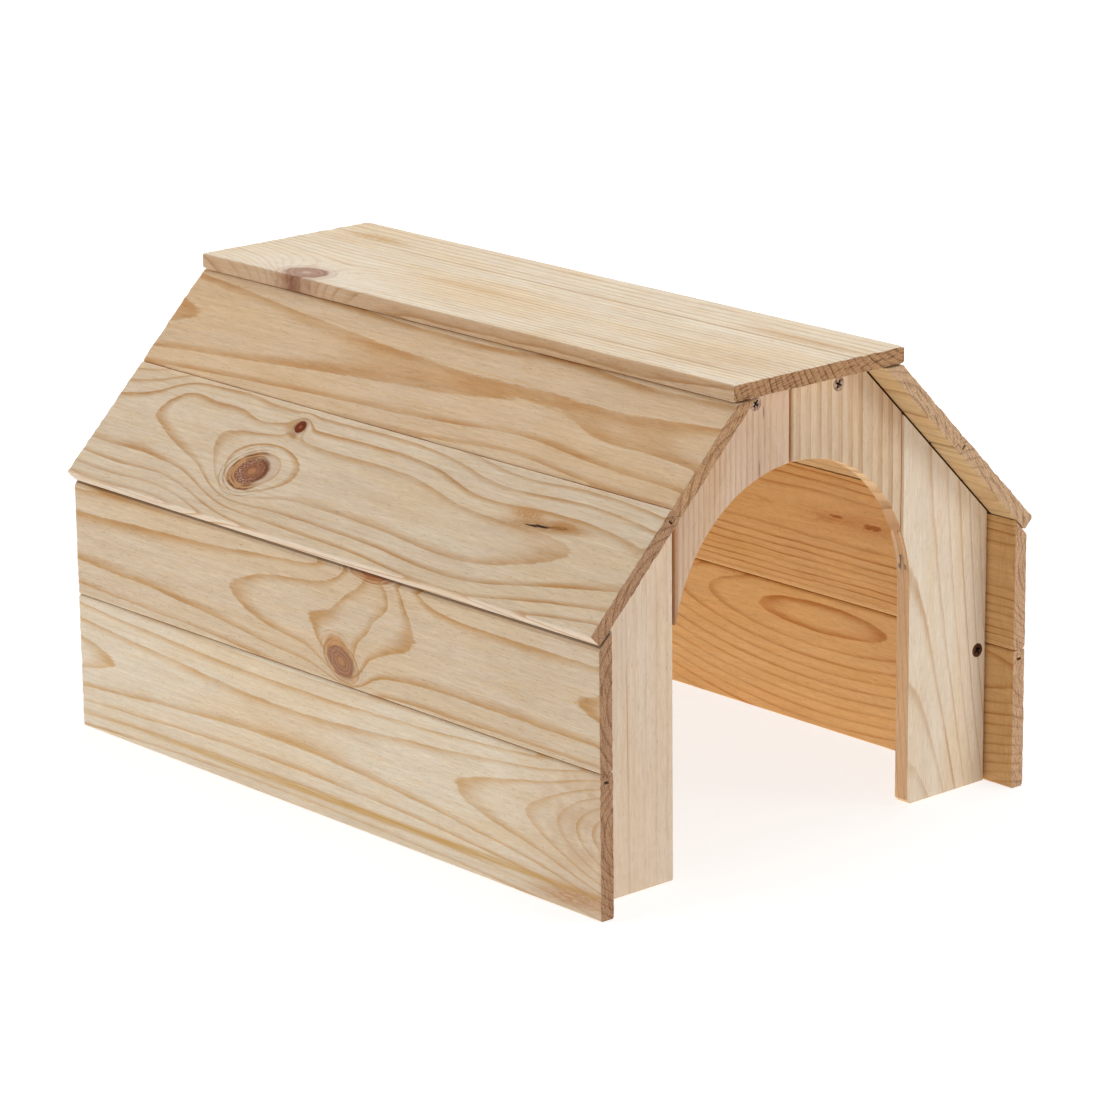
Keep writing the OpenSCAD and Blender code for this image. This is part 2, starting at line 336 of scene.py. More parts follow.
class KnotPlace(Mark):
    """How far a point lies from a knot, in knot radii, on which side, and how far it pulls the rings."""

    name = "knot_place"
    takes = {"Position": VECTOR, "Place": VECTOR, "Size": VECTOR, "Turn": FLOAT, "Pull": FLOAT}
    gives = {"Radius": FLOAT, "Pull": FLOAT, "Side": FLOAT}
    pull_reach = 1.7
    unevenness = 0.14
    bump_grain = (9.0, 6.0, 30.0)
    bump_seed = 4.0
    least_radius = 0.05

    def fill(self, given: Wires) -> Wires:
        """Adds an uneven ellipse around the knot's heart.

        Args:
            given: The group's inputs by name.

        Returns:
            What each output shows, by name.
        """
        share = self.share(given) * self.flat
        plain = share.apply("LENGTH")
        bumps = given["Position"].cloud(self.bump_grain, self.bump_seed)
        radius = plain * (bumps * self.unevenness + (1.0 - self.unevenness / 2))
        pull = plain.hump(0.0, self.pull_reach) * given["Pull"]
        side = share.parts()[0] / plain.apply("MAXIMUM", self.least_radius)
        return {"Radius": radius, "Pull": pull, "Side": side}


class RingCount(NodeGroup):
    """Counts the growth rings from the board's middle outwards, as a solid pattern."""

    name = "ring_count"
    takes = {
        "Position": VECTOR, "Centre": FLOAT, "Pith Depth": FLOAT, "Ring Width": FLOAT, "Floor": FLOAT,
        "Floor Place": FLOAT, "Floor Bend": FLOAT, "Drift": FLOAT, "Swell": FLOAT, "Wander": FLOAT,
        "Seed": FLOAT,
    }
    gives = {"Rings": FLOAT}
    layers = (((95.0, 24.0, 24.0), 2.0), ((24.0, 6.0, 6.0), 0.9), ((7.0, 0.9, 0.9), 0.2))

    def fill(self, given: Wires) -> Wires:
        """Adds the distance from the pith, the run along the board and the wander of the grain.

        Args:
            given: The group's inputs by name.

        Returns:
            What each output shows, by name.
        """
        along, across, into = given["Position"].parts()
        off = across - given["Centre"] - given["Drift"]
        deep = given["Pith Depth"] - into
        grown = (off * off + deep * deep).apply("SQRT") - given["Pith Depth"]
        run = along - given["Floor Place"]
        total = grown / given["Ring Width"] + run * run * given["Floor Bend"]
        total += given["Floor"] + given["Swell"]
        for grain, share in self.layers:
            total += given["Position"].wave(grain, given["Seed"], 1.0) * (given["Wander"] * share)
        return {"Rings": total}


class PineFigure(NodeGroup):
    """Colours pine from its ring count: pale early wood, amber late wood, fibres and resin flecks."""

    name = "pine_figure"
    takes = {
        "Position": VECTOR, "Rings": FLOAT, "Early": COLOUR, "Late": COLOUR, "Blush": COLOUR,
        "Late Start": FLOAT, "Wash": FLOAT, "Contrast": FLOAT, "Seed": FLOAT, "Odds": FLOAT, "Streak": FLOAT,
    }
    gives = {"Colour": COLOUR, "Height": FLOAT, "Roughness": FLOAT, "Late": FLOAT}
    ragged = (((12.0, 1.4, 1.4), 0.07), ((2.6, 0.5, 0.5), 0.05))
    wash_width = 0.24
    line = (0.78, 0.93)
    line_end = (0.955, 1.0)
    least_strength = 0.5
    strength_range = 0.55
    stretch_grain = (45.0, 9.0, 9.0)
    wide_grain = (120.0, 17.0, 17.0)
    thin_grain = (26.0, 1.3, 1.3)
    fibre_grain = (7.0, 0.5, 0.5)
    streak_grain = (50.0, 1.6, 1.6)
    mottle_grain = (32.0, 8.0, 8.0)
    fleck_grain = (3.2, 0.34, 0.34)
    warmth = (0.72, 1.0, 1.3)
    plain_tone = 1.02
    plain_roughness = 0.62

    def late_wood(self, given: Wires) -> Wire:
        """Adds the late wood: a wash that ends in a thin line, with its own strength in each ring.

        Args:
            given: The group's inputs by name.

        Returns:
            How strong the late wood is.
        """
        position, seed, count, start = given["Position"], given["Seed"], given["Rings"], given["Late Start"]
        for grain, share in self.ragged:
            count += position.wave(grain, seed) * share
        part = count.apply("FRACT")
        wash = part.step(start, start + self.wash_width)
        line = part.step(*self.line)
        late = ((wash - line) * given["Wash"] + line) * part.step(*self.line_end, *FALL)
        ring = {"W": count.apply("FLOOR") + given["Odds"]}
        chance = count.sheet.wire("ShaderNodeTexWhiteNoise", ring, "Value", noise_dimensions="1D")
        stretch = position.cloud(self.stretch_grain, seed).step(0.3, 0.7, 0.6, 1.1)
        return late * (chance * self.strength_range + self.least_strength) * stretch

    def fill(self, given: Wires) -> Wires:
        """Adds the late wood, slow changes of tint, streaks, fibres and flecks.

        Args:
            given: The group's inputs by name.

        Returns:
            What each output shows, by name.
        """
        position, seed = given["Position"], given["Seed"]
        late = self.late_wood(given)
        colour = (late * given["Contrast"]).mix(given["Early"], given["Late"])
        wide = position.cloud(self.wide_grain, seed).step(0.42, 0.68, 0.0, 0.7)
        thin = position.cloud(self.thin_grain, seed, 3.0).step(0.48, 0.68, 0.0, 0.8) * given["Streak"]
        colour = wide.apply("MAXIMUM", thin).mix(colour, colour * given["Blush"])
        fibre = position.wave(self.fibre_grain, seed, 3.0)
        streak = position.wave(self.streak_grain, seed) * given["Streak"]
        mottle = position.wave(self.mottle_grain, seed, 3.0)
        fleck = position.cloud(self.fleck_grain, seed, 1.0).step(0.65, 0.77)
        tone = fibre * 0.46 + self.plain_tone + streak * 0.3 + mottle * 0.24 - fleck * 0.3
        colour = colour * (1.0 - (1.0 - tone) * self.warmth)
        height = fibre * 0.9 + late * 0.35 - fleck * 0.4
        rough = fibre * 0.3 - late * 0.1 + self.plain_roughness
        return {"Colour": colour, "Height": height, "Roughness": rough, "Late": late}


class KnotDress(NodeGroup):
    """Colours a knot: a ringed brown heart, a resin collar and dark arcs of bark, paler on one side."""

    name = "knot_dress"
    takes = {
        "Position": VECTOR, "Radius": FLOAT, "Side": FLOAT, "Fade": FLOAT, "Bark": FLOAT, "Specks": FLOAT,
        "Colour": COLOUR, "Height": FLOAT, "Heart": COLOUR, "Rim": COLOUR, "Collar": COLOUR,
    }
    gives = {"Colour": COLOUR, "Height": FLOAT}
    ash = shade(198, 178, 162)
    arcs = ((1.1, 0.055, 0.8), (1.32, 0.085, 1.0), (1.62, 0.04, 0.6), (1.88, 0.03, 0.5))
    rings = 3.6
    ring_bend = 1.4
    patch_grain = (7.0, 6.0, 12.0)
    speck_grain = (1.2, 0.9, 3.0)

    def bark(self, radius: Wire, uneven: Wire) -> Wire:
        """Adds the dark arcs round the collar.

        Args:
            radius: Distance from the heart, in knot radii.
            uneven: A patchy strength from 0 to 1.

        Returns:
            How dark the arcs are.
        """
        share = uneven * 0.65 + 0.35
        made = [radius.hump(place, width) * share * strength for place, width, strength in self.arcs]
        dark = made[0]
        for arc in made[1:]:
            dark = dark.apply("MAXIMUM", arc)
        return dark

    def heart(self, given: Wires, patch: Wire, lost: Wire) -> tuple[Wire, Wire]:
        """Adds the heart.

        Args:
            given: The group's inputs by name.
            patch: A slow noise over the knot.
            lost: How far the bark is lost.

        Returns:
            The heart's colour and its rings.
        """
        radius, specks, rim = given["Radius"], given["Specks"], given["Rim"]
        part = (radius * self.rings + patch * self.ring_bend).apply("FRACT")
        ring = part.step(0.3, 0.9) * part.step(0.92, 1.0, *FALL)
        core = (ring * 0.5).mix(given["Heart"], rim)
        grain = given["Position"].cloud(self.speck_grain, 6.0, 3.0)
        outer = radius.step(0.35, 0.75) * given["Side"].step(-0.8, 0.3, 0.3, 1.0)
        pale = outer * specks * patch.step(0.3, 0.55, 0.4, 1.0)
        core = (grain.step(0.5, 0.62, 0.0, 0.75) * pale).mix(core, self.ash)
        core = (grain.step(0.48, 0.36, 0.0, 0.6) * specks).mix(core, rim)
        core = (radius.hump(0.8, 0.08) * lost * 0.8).mix(core, rim * 0.7)
        return radius.step(0.08, 0.42, 0.45, 0.0).mix(core, given["Collar"]), ring

    def fill(self, given: Wires) -> Wires:
        """Adds the collar, the bark and the heart, from outside in.

        Args:
            given: The group's inputs by name.

        Returns:
            What each output shows, by name.
        """
        radius, rim = given["Radius"], given["Rim"]
        patch = given["Position"].cloud(self.patch_grain, 2.0)
        uneven = patch.step(0.36, 0.6)
        lost = given["Side"].step(-0.75, 0.0, *FALL) * given["Fade"]
        keep = (1.0 - lost) * given["Bark"]
        near = radius.step(1.34, 1.48, *FALL)
        core, ring = self.heart(given, patch, lost)
        banded = (ring * 0.45).mix(given["Collar"], rim)
        colour = (near * (keep * 0.6 + 0.2)).mix(given["Colour"], banded)
        colour = (near * lost * 0.4).mix(colour, self.ash)
        dark = self.bark(radius, uneven) * keep
        inside = radius.step(0.92, 1.04, *FALL)
        colour = inside.mix(dark.mix(colour, rim), core)
        edge = radius.hump(1.0, 0.06) * (uneven * 0.45 + 0.15)
        height = inside * ring * -0.5 + given["Height"] - edge.apply("MAXIMUM", dark) * 0.9
        return {"Colour": edge.mix(colour, rim), "Height": height}


class PitchStreak(Mark):
    """Colours a pitch pocket: a dark ragged slit in a stain of resin."""

    name = "pitch_streak"
    takes = {
        "Position": VECTOR, "Place": VECTOR, "Size": VECTOR, "Turn": FLOAT, "Colour": COLOUR,
        "Stain": COLOUR, "Slit": COLOUR, "Spread": FLOAT, "Depth": FLOAT,
    }
    gives = {"Colour": COLOUR}
    ragged_grain = (0.4, 0.5, 4.0)
    stain_narrowing = 0.12

    def fill(self, given: Wires) -> Wires:
        """Adds the stain and, in its middle, the slit.

        Args:
            given: The group's inputs by name.

        Returns:
            What each output shows, by name.
        """
        share = self.share(given)
        flat = share * self.flat
        square = flat.apply("DOT_PRODUCT", flat)
        ragged = share.cloud(self.ragged_grain, given["Place"], 3.0)
        stain = (square * self.stain_narrowing).fall().step(0.05, 0.95) * ragged.step(0.3, 0.64, 0.45, 1.0)
        colour = (stain * given["Spread"]).mix(given["Colour"], given["Stain"])
        slit = (square.fall() * (ragged * 1.3 + 0.25)).step(0.42, 0.72) * given["Depth"]
        return {"Colour": slit.mix(colour, given["Slit"])}


class SawnEnd(NodeGroup):
    """Colours sawn end grain: brown, with the rings cut across and fibres torn at a slant."""

    name = "sawn_end"
    takes = {
        "Position": VECTOR, "Late": FLOAT, "Colour": COLOUR, "Height": FLOAT, "Roughness": FLOAT,
        "End": FLOAT, "End Early": COLOUR, "End Late": COLOUR, "Tear": FLOAT, "Seed": FLOAT,
    }
    gives = {"Colour": COLOUR, "Height": FLOAT, "Roughness": FLOAT}
    pit = shade(96, 62, 40)
    fuzz = shade(222, 190, 156)
    slant = 0.22
    line_grain = (8.0, 9.0, 0.55)
    coarse_grain = (3.0, 1.3, 0.75)
    fine_grain = (3.0, 0.6, 0.45)
    end_roughness = 0.9

    def fill(self, given: Wires) -> Wires:
        """Adds rings, torn lines, grains, pits and fuzz, where the surface faces along the grain.

        Args:
            given: The group's inputs by name.

        Returns:
            What each output shows, by name.
        """
        position, seed, end, torn = given["Position"], given["Seed"], given["End"], given["Tear"]
        lines = position.turned(self.slant, "X_AXIS").cloud(self.line_grain, seed, 3.0)
        grain = position.cloud(self.coarse_grain, seed)
        grit = position.cloud(self.fine_grain, seed, 1.0)
        coarse, fine = (cloud.step(0.36, 0.64) - 0.5 for cloud in (grain, grit))
        share = given["Late"] * grain.step(0.3, 0.6, 0.5, 0.95) + 0.1 + lines.step(0.5, 0.64, 0.0, 0.6) * torn
        colour = share.mix(given["End Early"], given["End Late"])
        colour = colour * ((coarse * 0.16 + fine * 0.2) * torn + 1.0)
        deep = grit.step(0.44, 0.32, 0.0, 0.6) * lines.step(0.48, 0.62, 0.1, 1.0)
        colour = (deep * torn).mix(colour, self.pit)
        colour = (grit.step(0.6, 0.72, 0.0, 0.35) * torn).mix(colour, self.fuzz)
        rough = end * (self.end_roughness - given["Roughness"]) + given["Roughness"]
        relief = ((coarse + fine) * 0.5 - lines * 1.8) * torn
        height = end * (relief - given["Height"]) + given["Height"]
        return {"Colour": end.mix(given["Colour"], colour), "Height": height, "Roughness": rough}


@dataclass(frozen=True)
class PineTint:
    """Colours of one kind of pine board: its wood, edges, ends and back, and how torn and streaky it is."""

    early: Colour
    late: Colour
    blush: Colour = (1.0, 0.93, 0.81, 1.0)
    edge: Colour = WHITE
    end_early: Colour = shade(193, 151, 117)
    end_late: Colour = shade(146, 104, 74)
    tear: float = 1.0
    back: Colour = WHITE
    streak: float = 1.0


@dataclass(frozen=True)
class CutTint(PineTint):
    """Colours of a gable board, whose ends are cut smooth and whose edges are tinted darker and warmer."""

    edge: Colour = (0.93, 0.775, 0.62, 1.0)
    end_early: Colour = shade(254, 220, 172)
    end_late: Colour = shade(205, 163, 120)
    tear: float = 0.35
    streak: float = 0.55


class Pine(Enum):
    """The pine boards' tints."""

    PALE = PineTint(shade(241, 225, 202), shade(200, 158, 104), (0.97, 0.87, 0.71, 1.0),
                    (0.715, 0.575, 0.46, 1.0), shade(202, 156, 113), shade(112, 68, 42))
    CREAM = PineTint(shade(230, 213, 189), shade(210, 170, 120))
    STRAW = PineTint(shade(219, 197, 169), shade(196, 152, 101))
    # SAND's edge tint is above one: painted light that lightens the slope's lower edge strip.
    SAND = PineTint(shade(220, 199, 172), shade(190, 145, 96), edge=(1.12, 1.19, 1.34, 1.0))
    TAN = PineTint(shade(218, 190, 157), shade(188, 136, 80), end_early=shade(207, 163, 122),
                   end_late=shade(156, 112, 78))
    HONEY = PineTint(shade(229, 186, 130), shade(192, 126, 64), end_early=shade(217, 176, 139),
                     end_late=shade(166, 122, 90), back=(0.98, 1.14, 1.5, 1.0))
    OCHRE = PineTint(shade(220, 188, 142), shade(184, 138, 92), end_early=shade(222, 184, 146),
                     end_late=shade(160, 122, 92))
    IVORY = CutTint(shade(229, 208, 186), shade(198, 164, 130))
    ROSE = CutTint(shade(217, 187, 160), shade(172, 128, 98))
    WHEAT = CutTint(shade(224, 197, 167), shade(180, 138, 94))
    MILK = CutTint(shade(238, 220, 197), shade(198, 154, 106))


@dataclass(frozen=True)
class BoardAxes:
    """A board's own axes in the house: along the grain, across the face, and the face itself.

    Attributes:
        along: Unit direction of the grain.
        across: Unit direction over the face.
        face: A point of the face at which across and depth are zero, in millimetres.
    """

    along: Triple
    across: Triple
    face: Triple

    def rotation(self) -> Matrix:
        """Returns the turn from the house's axes to the board's."""
        along, across = Vector(self.along), Vector(self.across)
        return Matrix((along, across, along.cross(across)))

    def shift(self) -> Vector:
        """Finds what is added after the turn, so that the face lies at zero.

        Returns:
            The shift on the board's axes.
        """
        moved = -(self.rotation() @ Vector(self.face))
        moved.x = 0.0
        return moved

    def local(self, point: Vector) -> Vector:
        """Returns a point of the house, in metres, on the board's axes, in millimetres."""
        return self.rotation() @ (point / MM) + self.shift()

    def world(self, point: Vector) -> Vector:
        """Returns a point on the board's axes, in millimetres, in the house, in metres."""
        return self.rotation().transposed() @ (point - self.shift()) * MM

    def mapping(self, sheet: NodeSheet) -> Wire:
        """Adds the nodes that find a point's place on the board.

        Args:
            sheet: The material's tree.

        Returns:
            The place on the board's axes.
        """
        return sheet.wire("ShaderNodeMapping", {
            "Vector": sheet.wire("ShaderNodeTexCoord", output="Object"), "Location": self.shift(),
            "Rotation": self.rotation().to_euler("XYZ"), "Scale": 1 / MM,
        }, vector_type="POINT")


@dataclass(frozen=True)
class Swell:
    """A rise or dip of the ring count: its place and reach (along, across) and its amount in rings."""

    place: Place
    reach: Place
    amount: float


@dataclass(frozen=True)
class Knot:
    """A knot: its place, its half length and half width, its turn, how many rings it pulls, and its colours.

    The bark says how strong its collar and dark arcs are, the fade how far they are lost on one side.
    """

    place: Place
    size: Place
    turn: float = 0.0
    pull: float = -2.5
    bark: float = 1.0
    fade: float = 0.0
    heart: Colour = shade(156, 104, 76)
    rim: Colour = shade(110, 62, 30)
    collar: Colour = shade(212, 154, 98)
    specks: float = 0.3


@dataclass(frozen=True)
class Pitch:
    """A pitch pocket: its place, half length and half width, turn, darkness, spread and colours."""

    place: Place
    size: Place
    turn: float
    depth: float
    spread: float
    stain: Colour
    slit: Colour = shade(84, 52, 30)


def stain(place: Place, size: Place, spread: float, colour: Colour, turn: float = 0.0) -> Pitch:
    """Returns a stain of resin, which has no slit."""
    return Pitch(place, size, turn, 0.0, spread, colour)


@dataclass(frozen=True)
class Figure:
    """The growth rings and marks of one board, on the board's own axes.

    Attributes:
        tint: The board's colours.
        centre: Where across the face the rings turn over.
        pith_depth: How far the heart of the tree lies below the face; below zero where it lies above.
        ring_width: Thickness of a ring.
        floor: Ring count at the floor place.
        floor_place: Where along the board the rings run level.
        floor_run: Distance from there at which one ring is passed; below zero where rings are lost.
        swells: Rises and dips of the ring count.
        drifts: Sideways shifts of the figure's middle.
        wander: How far the grain strays, in rings.
        late_start: Share of a ring at which the wood begins to darken.
        wash: How far the late wood is an even wash rather than a line.
        contrast: Strength of the late wood.
        seed: Sets the board's own fibres.
        odds: Sets which of its rings are strong.
    """

    tint: Pine
    centre: float
    pith_depth: float
    ring_width: float
    floor: float = 0.0
    floor_place: float = 0.0
    floor_run: float = 900.0
    swells: tuple[Swell, ...] = ()
    drifts: tuple[Swell, ...] = ()
    knots: tuple[Knot, ...] = ()
    pitches: tuple[Pitch, ...] = ()
    wander: float = 0.12
    late_start: float = 0.6
    wash: float = 0.45
    contrast: float = 1.0
    seed: float = 0.0
    odds: float = 0.0


def new_material(name: str) -> tuple[bpy.types.Material, NodeSheet, bpy.types.Node]:
    """Makes a material with nodes.

    Args:
        name: Name of the material.

    Returns:
        The material, its sheet and its shader.
    """
    material = bpy.data.materials.new(name)
    material.use_nodes = True
    return material, NodeSheet(material.node_tree), material.node_tree.nodes["Principled BSDF"]


@dataclass(frozen=True)
class PineFinish:
    """Unfinished pine: one board's figure laid on the board's axes, with painted shade in its joints and
    grooves.

    Attributes:
        joint: How strongly shade is painted on its long edges where they close a joint.
        shut: Distances from the middle, along the grain, between which its back lies in a dark slot on an
            edge and gets painted shade.
        shut_blur: Width over which that dark begins and ends.
        facing: Shares of a direction between which a surface faces that way.
        back_depth: Depths between which the back begins.
        groove_start: Depths between which a tongue or groove begins.
        groove_end: Depths between which it ends.
        groove_shade: How strongly shade is painted on the flats of a tongue or groove.
    """

    figure: Figure
    axes: BoardAxes
    joint: float = 0.0
    shut: Place = (0.0, 0.0)
    shut_blur: float = 0.4
    bump_height: float = 0.16
    specular: float = 0.15
    facing: Place = (0.45, 0.85)
    back_depth: Place = (7.3, 7.8)
    groove_start: Place = (0.9, 1.4)
    groove_end: Place = (6.6, 7.1)
    groove_shade: float = 0.6
    # Colour of the painted shade in joints, grooves and the covered back.
    groove: Colour = shade(92, 58, 36)

    def swell(self, position: Wire, swells: Sequence[Swell]) -> list[Wire]:
        """Adds rises and dips of the grain.

        Args:
            position: The point on the board's axes.
            swells: The rises and dips.

        Returns:
            The amount of each at the point.
        """
        return [GrainSwell().place(position.sheet, {
            "Position": position, "Place": (*swell.place, 0.0), "Reach": (*swell.reach, FAR),
        }, swell)["Swell"] for swell in swells]

    def spot(self, position: Wire, mark: Union[Knot, Pitch]) -> Values:
        """Lists the values that knots and pitch pockets share.

        Args:
            position: The point on the board's axes.
            mark: The knot or the pitch pocket.

        Returns:
            The values by input.
        """
        return {
            "Position": position, "Place": (*mark.place, 0.0), "Size": (*mark.size, 1.0),
            "Turn": math.radians(mark.turn),
        }

    def wood(self, position: Wire, knots: Sequence[Wires]) -> Wires:
        """Adds the board's rings and its plain figure.

        Args:
            position: The point on the board's axes.
            knots: The outputs of the knots' places.

        Returns:
            The plain figure's outputs.
        """
        figure, tint, sheet = self.figure, self.figure.tint.value, position.sheet
        swells = self.swell(position, figure.swells) + [knot["Pull"] for knot in knots]
        rings = RingCount().place(sheet, {
            "Position": position, "Floor Bend": 1.0 / (figure.floor_run * abs(figure.floor_run)),
            "Swell": sum(swells), "Drift": sum(self.swell(position, figure.drifts)),
        }, figure)["Rings"]
        given = {"Position": position, "Rings": rings, "Odds": figure.seed + figure.odds}
        return PineFigure().place(sheet, given, figure, tint)

    def marks(self, position: Wire, wood: Wires, knots: Sequence[Wires]) -> tuple[Wire, Wire]:
        """Dresses the knots and pitch pockets over the plain figure.

        Args:
            position: The point on the board's axes.
            wood: The plain figure's outputs.
            knots: The outputs of the knots' places.

        Returns:
            The colour and the height with the marks.
        """
        colour, height = wood["Colour"], wood["Height"]
        for pitch in self.figure.pitches:
            given = {**self.spot(position, pitch), "Colour": colour}
            colour = PitchStreak().place(position.sheet, given, pitch)["Colour"]
        for knot, place in zip(self.figure.knots, knots):
            dressed = KnotDress().place(position.sheet, {
                "Position": position, "Radius": place["Radius"], "Side": place["Side"], "Colour": colour,
                "Height": height,
            }, knot)
            colour, height = dressed["Colour"], dressed["Height"]
        return colour, height

    def dimmed(self, position: Wire, colour: Wire, side: Wire, flat: Wire) -> Wire:
        """Tints the edges and the back, and paints shade into joints, grooves and the back where it lies in a
        slot.

        Args:
            position: The point on the board's axes.
            colour: The colour so far.
            side: Whether the surface faces across.
            flat: Whether the surface faces out or in.

        Returns:
            The new colour.
        """
        tint, (start, end) = self.figure.tint.value, self.shut
        along, _, depth = position.parts()
        colour = side.mix(colour, colour * tint.edge)
        behind = depth.step(*self.back_depth) * flat
        colour = behind.mix(colour, colour * tint.back)
        run = abs(along)
        # Painted shade on the back where it lies in the slot over a gable's top edge.
        shaded_back = run.step(start - self.shut_blur, start) * run.step(end - self.shut_blur, end, *FALL)
        colour = (shaded_back * behind).mix(colour, self.groove)
        # Painted shade on the edges and flats inside a tongue and groove.
        inside = depth.step(*self.groove_start) * depth.step(*self.groove_end, *FALL)
        return (inside * (side * self.joint + flat * self.groove_shade)).mix(colour, self.groove)

    def material(self, name: str) -> bpy.types.Material:
        """Makes the board's material.

        Args:
            name: The material's name.

        Returns:
            The material.
        """
        material, sheet, shader = new_material(name)
        position = self.axes.mapping(sheet)
        knots = [KnotPlace().place(sheet, self.spot(position, knot), knot) for knot in self.figure.knots]
        wood = self.wood(position, knots)
        colour, height = self.marks(position, wood, knots)
        normal = sheet.wire("ShaderNodeNewGeometry", output="Normal")
        shares = (normal.apply("DOT_PRODUCT", tuple(axis)) for axis in self.axes.rotation())
        end, side, flat = (abs(share).step(*self.facing) for share in shares)
        sawn = SawnEnd().place(sheet, {
            "Position": position, "Late": wood["Late"], "Colour": self.dimmed(position, colour, side, flat),
            "Height": height, "Roughness": wood["Roughness"], "End": end,
        }, self.figure, self.figure.tint.value)
        relief = {"Strength": 1.0, "Distance": self.bump_height * MM, "Height": sawn["Height"]}
        sheet.dress(shader, {
            "Base Color": sawn["Colour"], "Roughness": sawn["Roughness"], "Specular IOR Level": self.specular,
            "Normal": sheet.wire("ShaderNodeBump", relief, "Normal"),
        })
        return material


@dataclass(frozen=True)
class SteelFinish:
    """Bare or tarnished steel of wire and screws.

    Attributes:
        tarnish: Colour of its stains.
        low_tone: Colour that the metal turns to near the floor, darker than above.
        spot: Size of the stains.
        roughness_range: How far scratches change the roughness.
        low_height: Heights between which the metal turns from its low tone to bright.
        recess: Depths between which the recess of a head darkens to painted shade.
    """

    bright: Colour
    tarnish: Colour
    low_tone: Colour
    spot: float = 1.6
    roughness: float = 0.42
    roughness_range: float = 0.3
    low_height: Place = (90.0, 160.0)
    low_share: float = 0.85
    # Colour of the shade painted into the recess of a screw head.
    recess_shade: Colour = shade(16, 12, 10)
    recess: Place = (0.08, 0.45)

    def material(self, name: str, head: float = 0.0, inward: float = 0.0) -> bpy.types.Material:
        """Makes the metal's material.

        Args:
            name: The material's name.
            head: How far the screw heads lie from the middle of the house.
            inward: 1 where the recess lies nearer the middle than the head, -1 where further, 0 for wire.

        Returns:
            The material.
        """
        material, sheet, shader = new_material(name)
        place = sheet.wire("ShaderNodeTexCoord", output="Object") * (1 / MM)
        _, along, up = place.parts()
        stained = place.cloud((self.spot,) * 3, 1.0, 3.0).step(0.42, 0.62)
        scratch = place.wave((self.spot, self.spot / 8, self.spot / 3), 5.0)
        lowness = up.step(*self.low_height, self.low_share, 0.0)
        colour = lowness.mix(stained.mix(self.bright, self.tarnish), self.low_tone)
        metal: Value = 1.0
        if inward:
            # Painted shade: the recess darkens and loses its metal with depth below the head.
            dark = ((head - abs(along)) * inward).step(*self.recess)
            colour = dark.mix(colour, self.recess_shade)
            metal = 1.0 - dark
        rough = scratch * self.roughness_range + self.roughness
        sheet.dress(shader, {"Base Color": colour, "Roughness": rough, "Metallic": metal})
        return material


class Slot(Enum):
    """Names of material slots, which the pieces carry but which are not applied."""

    WALLS = "wall_boards"
    SLOPES = "slope_boards"
    TOP = "top_board"
    GABLES = "gable_boards"
    BATTENS = "battens"
    SCREWS = "screws"
    STAPLES = "staples"


def packed_mesh(node: str) -> bmesh.types.BMesh:
    """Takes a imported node's mesh and joins its doubled corners.

    Args:
        node: The node's name.

    Returns:
        The mesh, in metres.
    """
    work = bmesh.new()
    work.from_mesh(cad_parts[node].data)
    bmesh.ops.remove_doubles(work, verts=work.verts, dist=1e-6)
    return work


def corners(points: Sequence[Vector]) -> tuple[Vector, Vector]:
    """Returns the lowest and the highest corner of the box around some points."""
    low = Vector([min(point[axis] for point in points) for axis in range(3)])
    return low, Vector([max(point[axis] for point in points) for axis in range(3)])


def islands(node: str) -> Iterator[tuple[Vector, Vector]]:
    """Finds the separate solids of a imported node.

    Args:
        node: The node's name.

    Yields:
        The lowest and highest corner of each solid, in metres.
    """
    work = packed_mesh(node)
    left = set(work.verts)
    boxes = []
    while left:
        stack = [left.pop()]
        points = []
        while stack:
            vertex = stack.pop()
            points.append(vertex.co.copy())
            near = [edge.other_vert(vertex) for edge in vertex.link_edges]
            fresh = [other for other in near if other in left]
            left.difference_update(fresh)
            stack.extend(fresh)
        boxes.append(corners(points))
    work.free()
    yield from sorted(boxes, key=lambda box: tuple(round(part, 5) for part in box[0]))


def new_object(name: str, data: bpy.types.ID) -> bpy.types.Object:
    """Makes an object and puts it in the scene.

    Args:
        name: Name of the object.
        data: Its mesh, light or camera.

    Returns:
        The object.
    """
    made = bpy.data.objects.new(name, data)
    bpy.context.scene.collection.objects.link(made)
    return made


def smooth(mesh: bpy.types.Mesh, angle: float) -> None:
    """Lets the faces of a mesh that meet below an angle, in degrees, shade as one."""
    mesh.polygons.foreach_set("use_smooth", [True] * len(mesh.polygons))
    mesh.set_sharp_from_angle(angle=math.radians(angle))


def settle(piece: bpy.types.Object, slot: Slot, node: str) -> None:
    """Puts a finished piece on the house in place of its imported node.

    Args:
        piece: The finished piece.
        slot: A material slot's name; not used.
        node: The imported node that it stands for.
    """
    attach(piece, ROOT)
    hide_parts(node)
    LOG.info("%s: %d faces for %s", piece.name, len(piece.data.polygons), node)


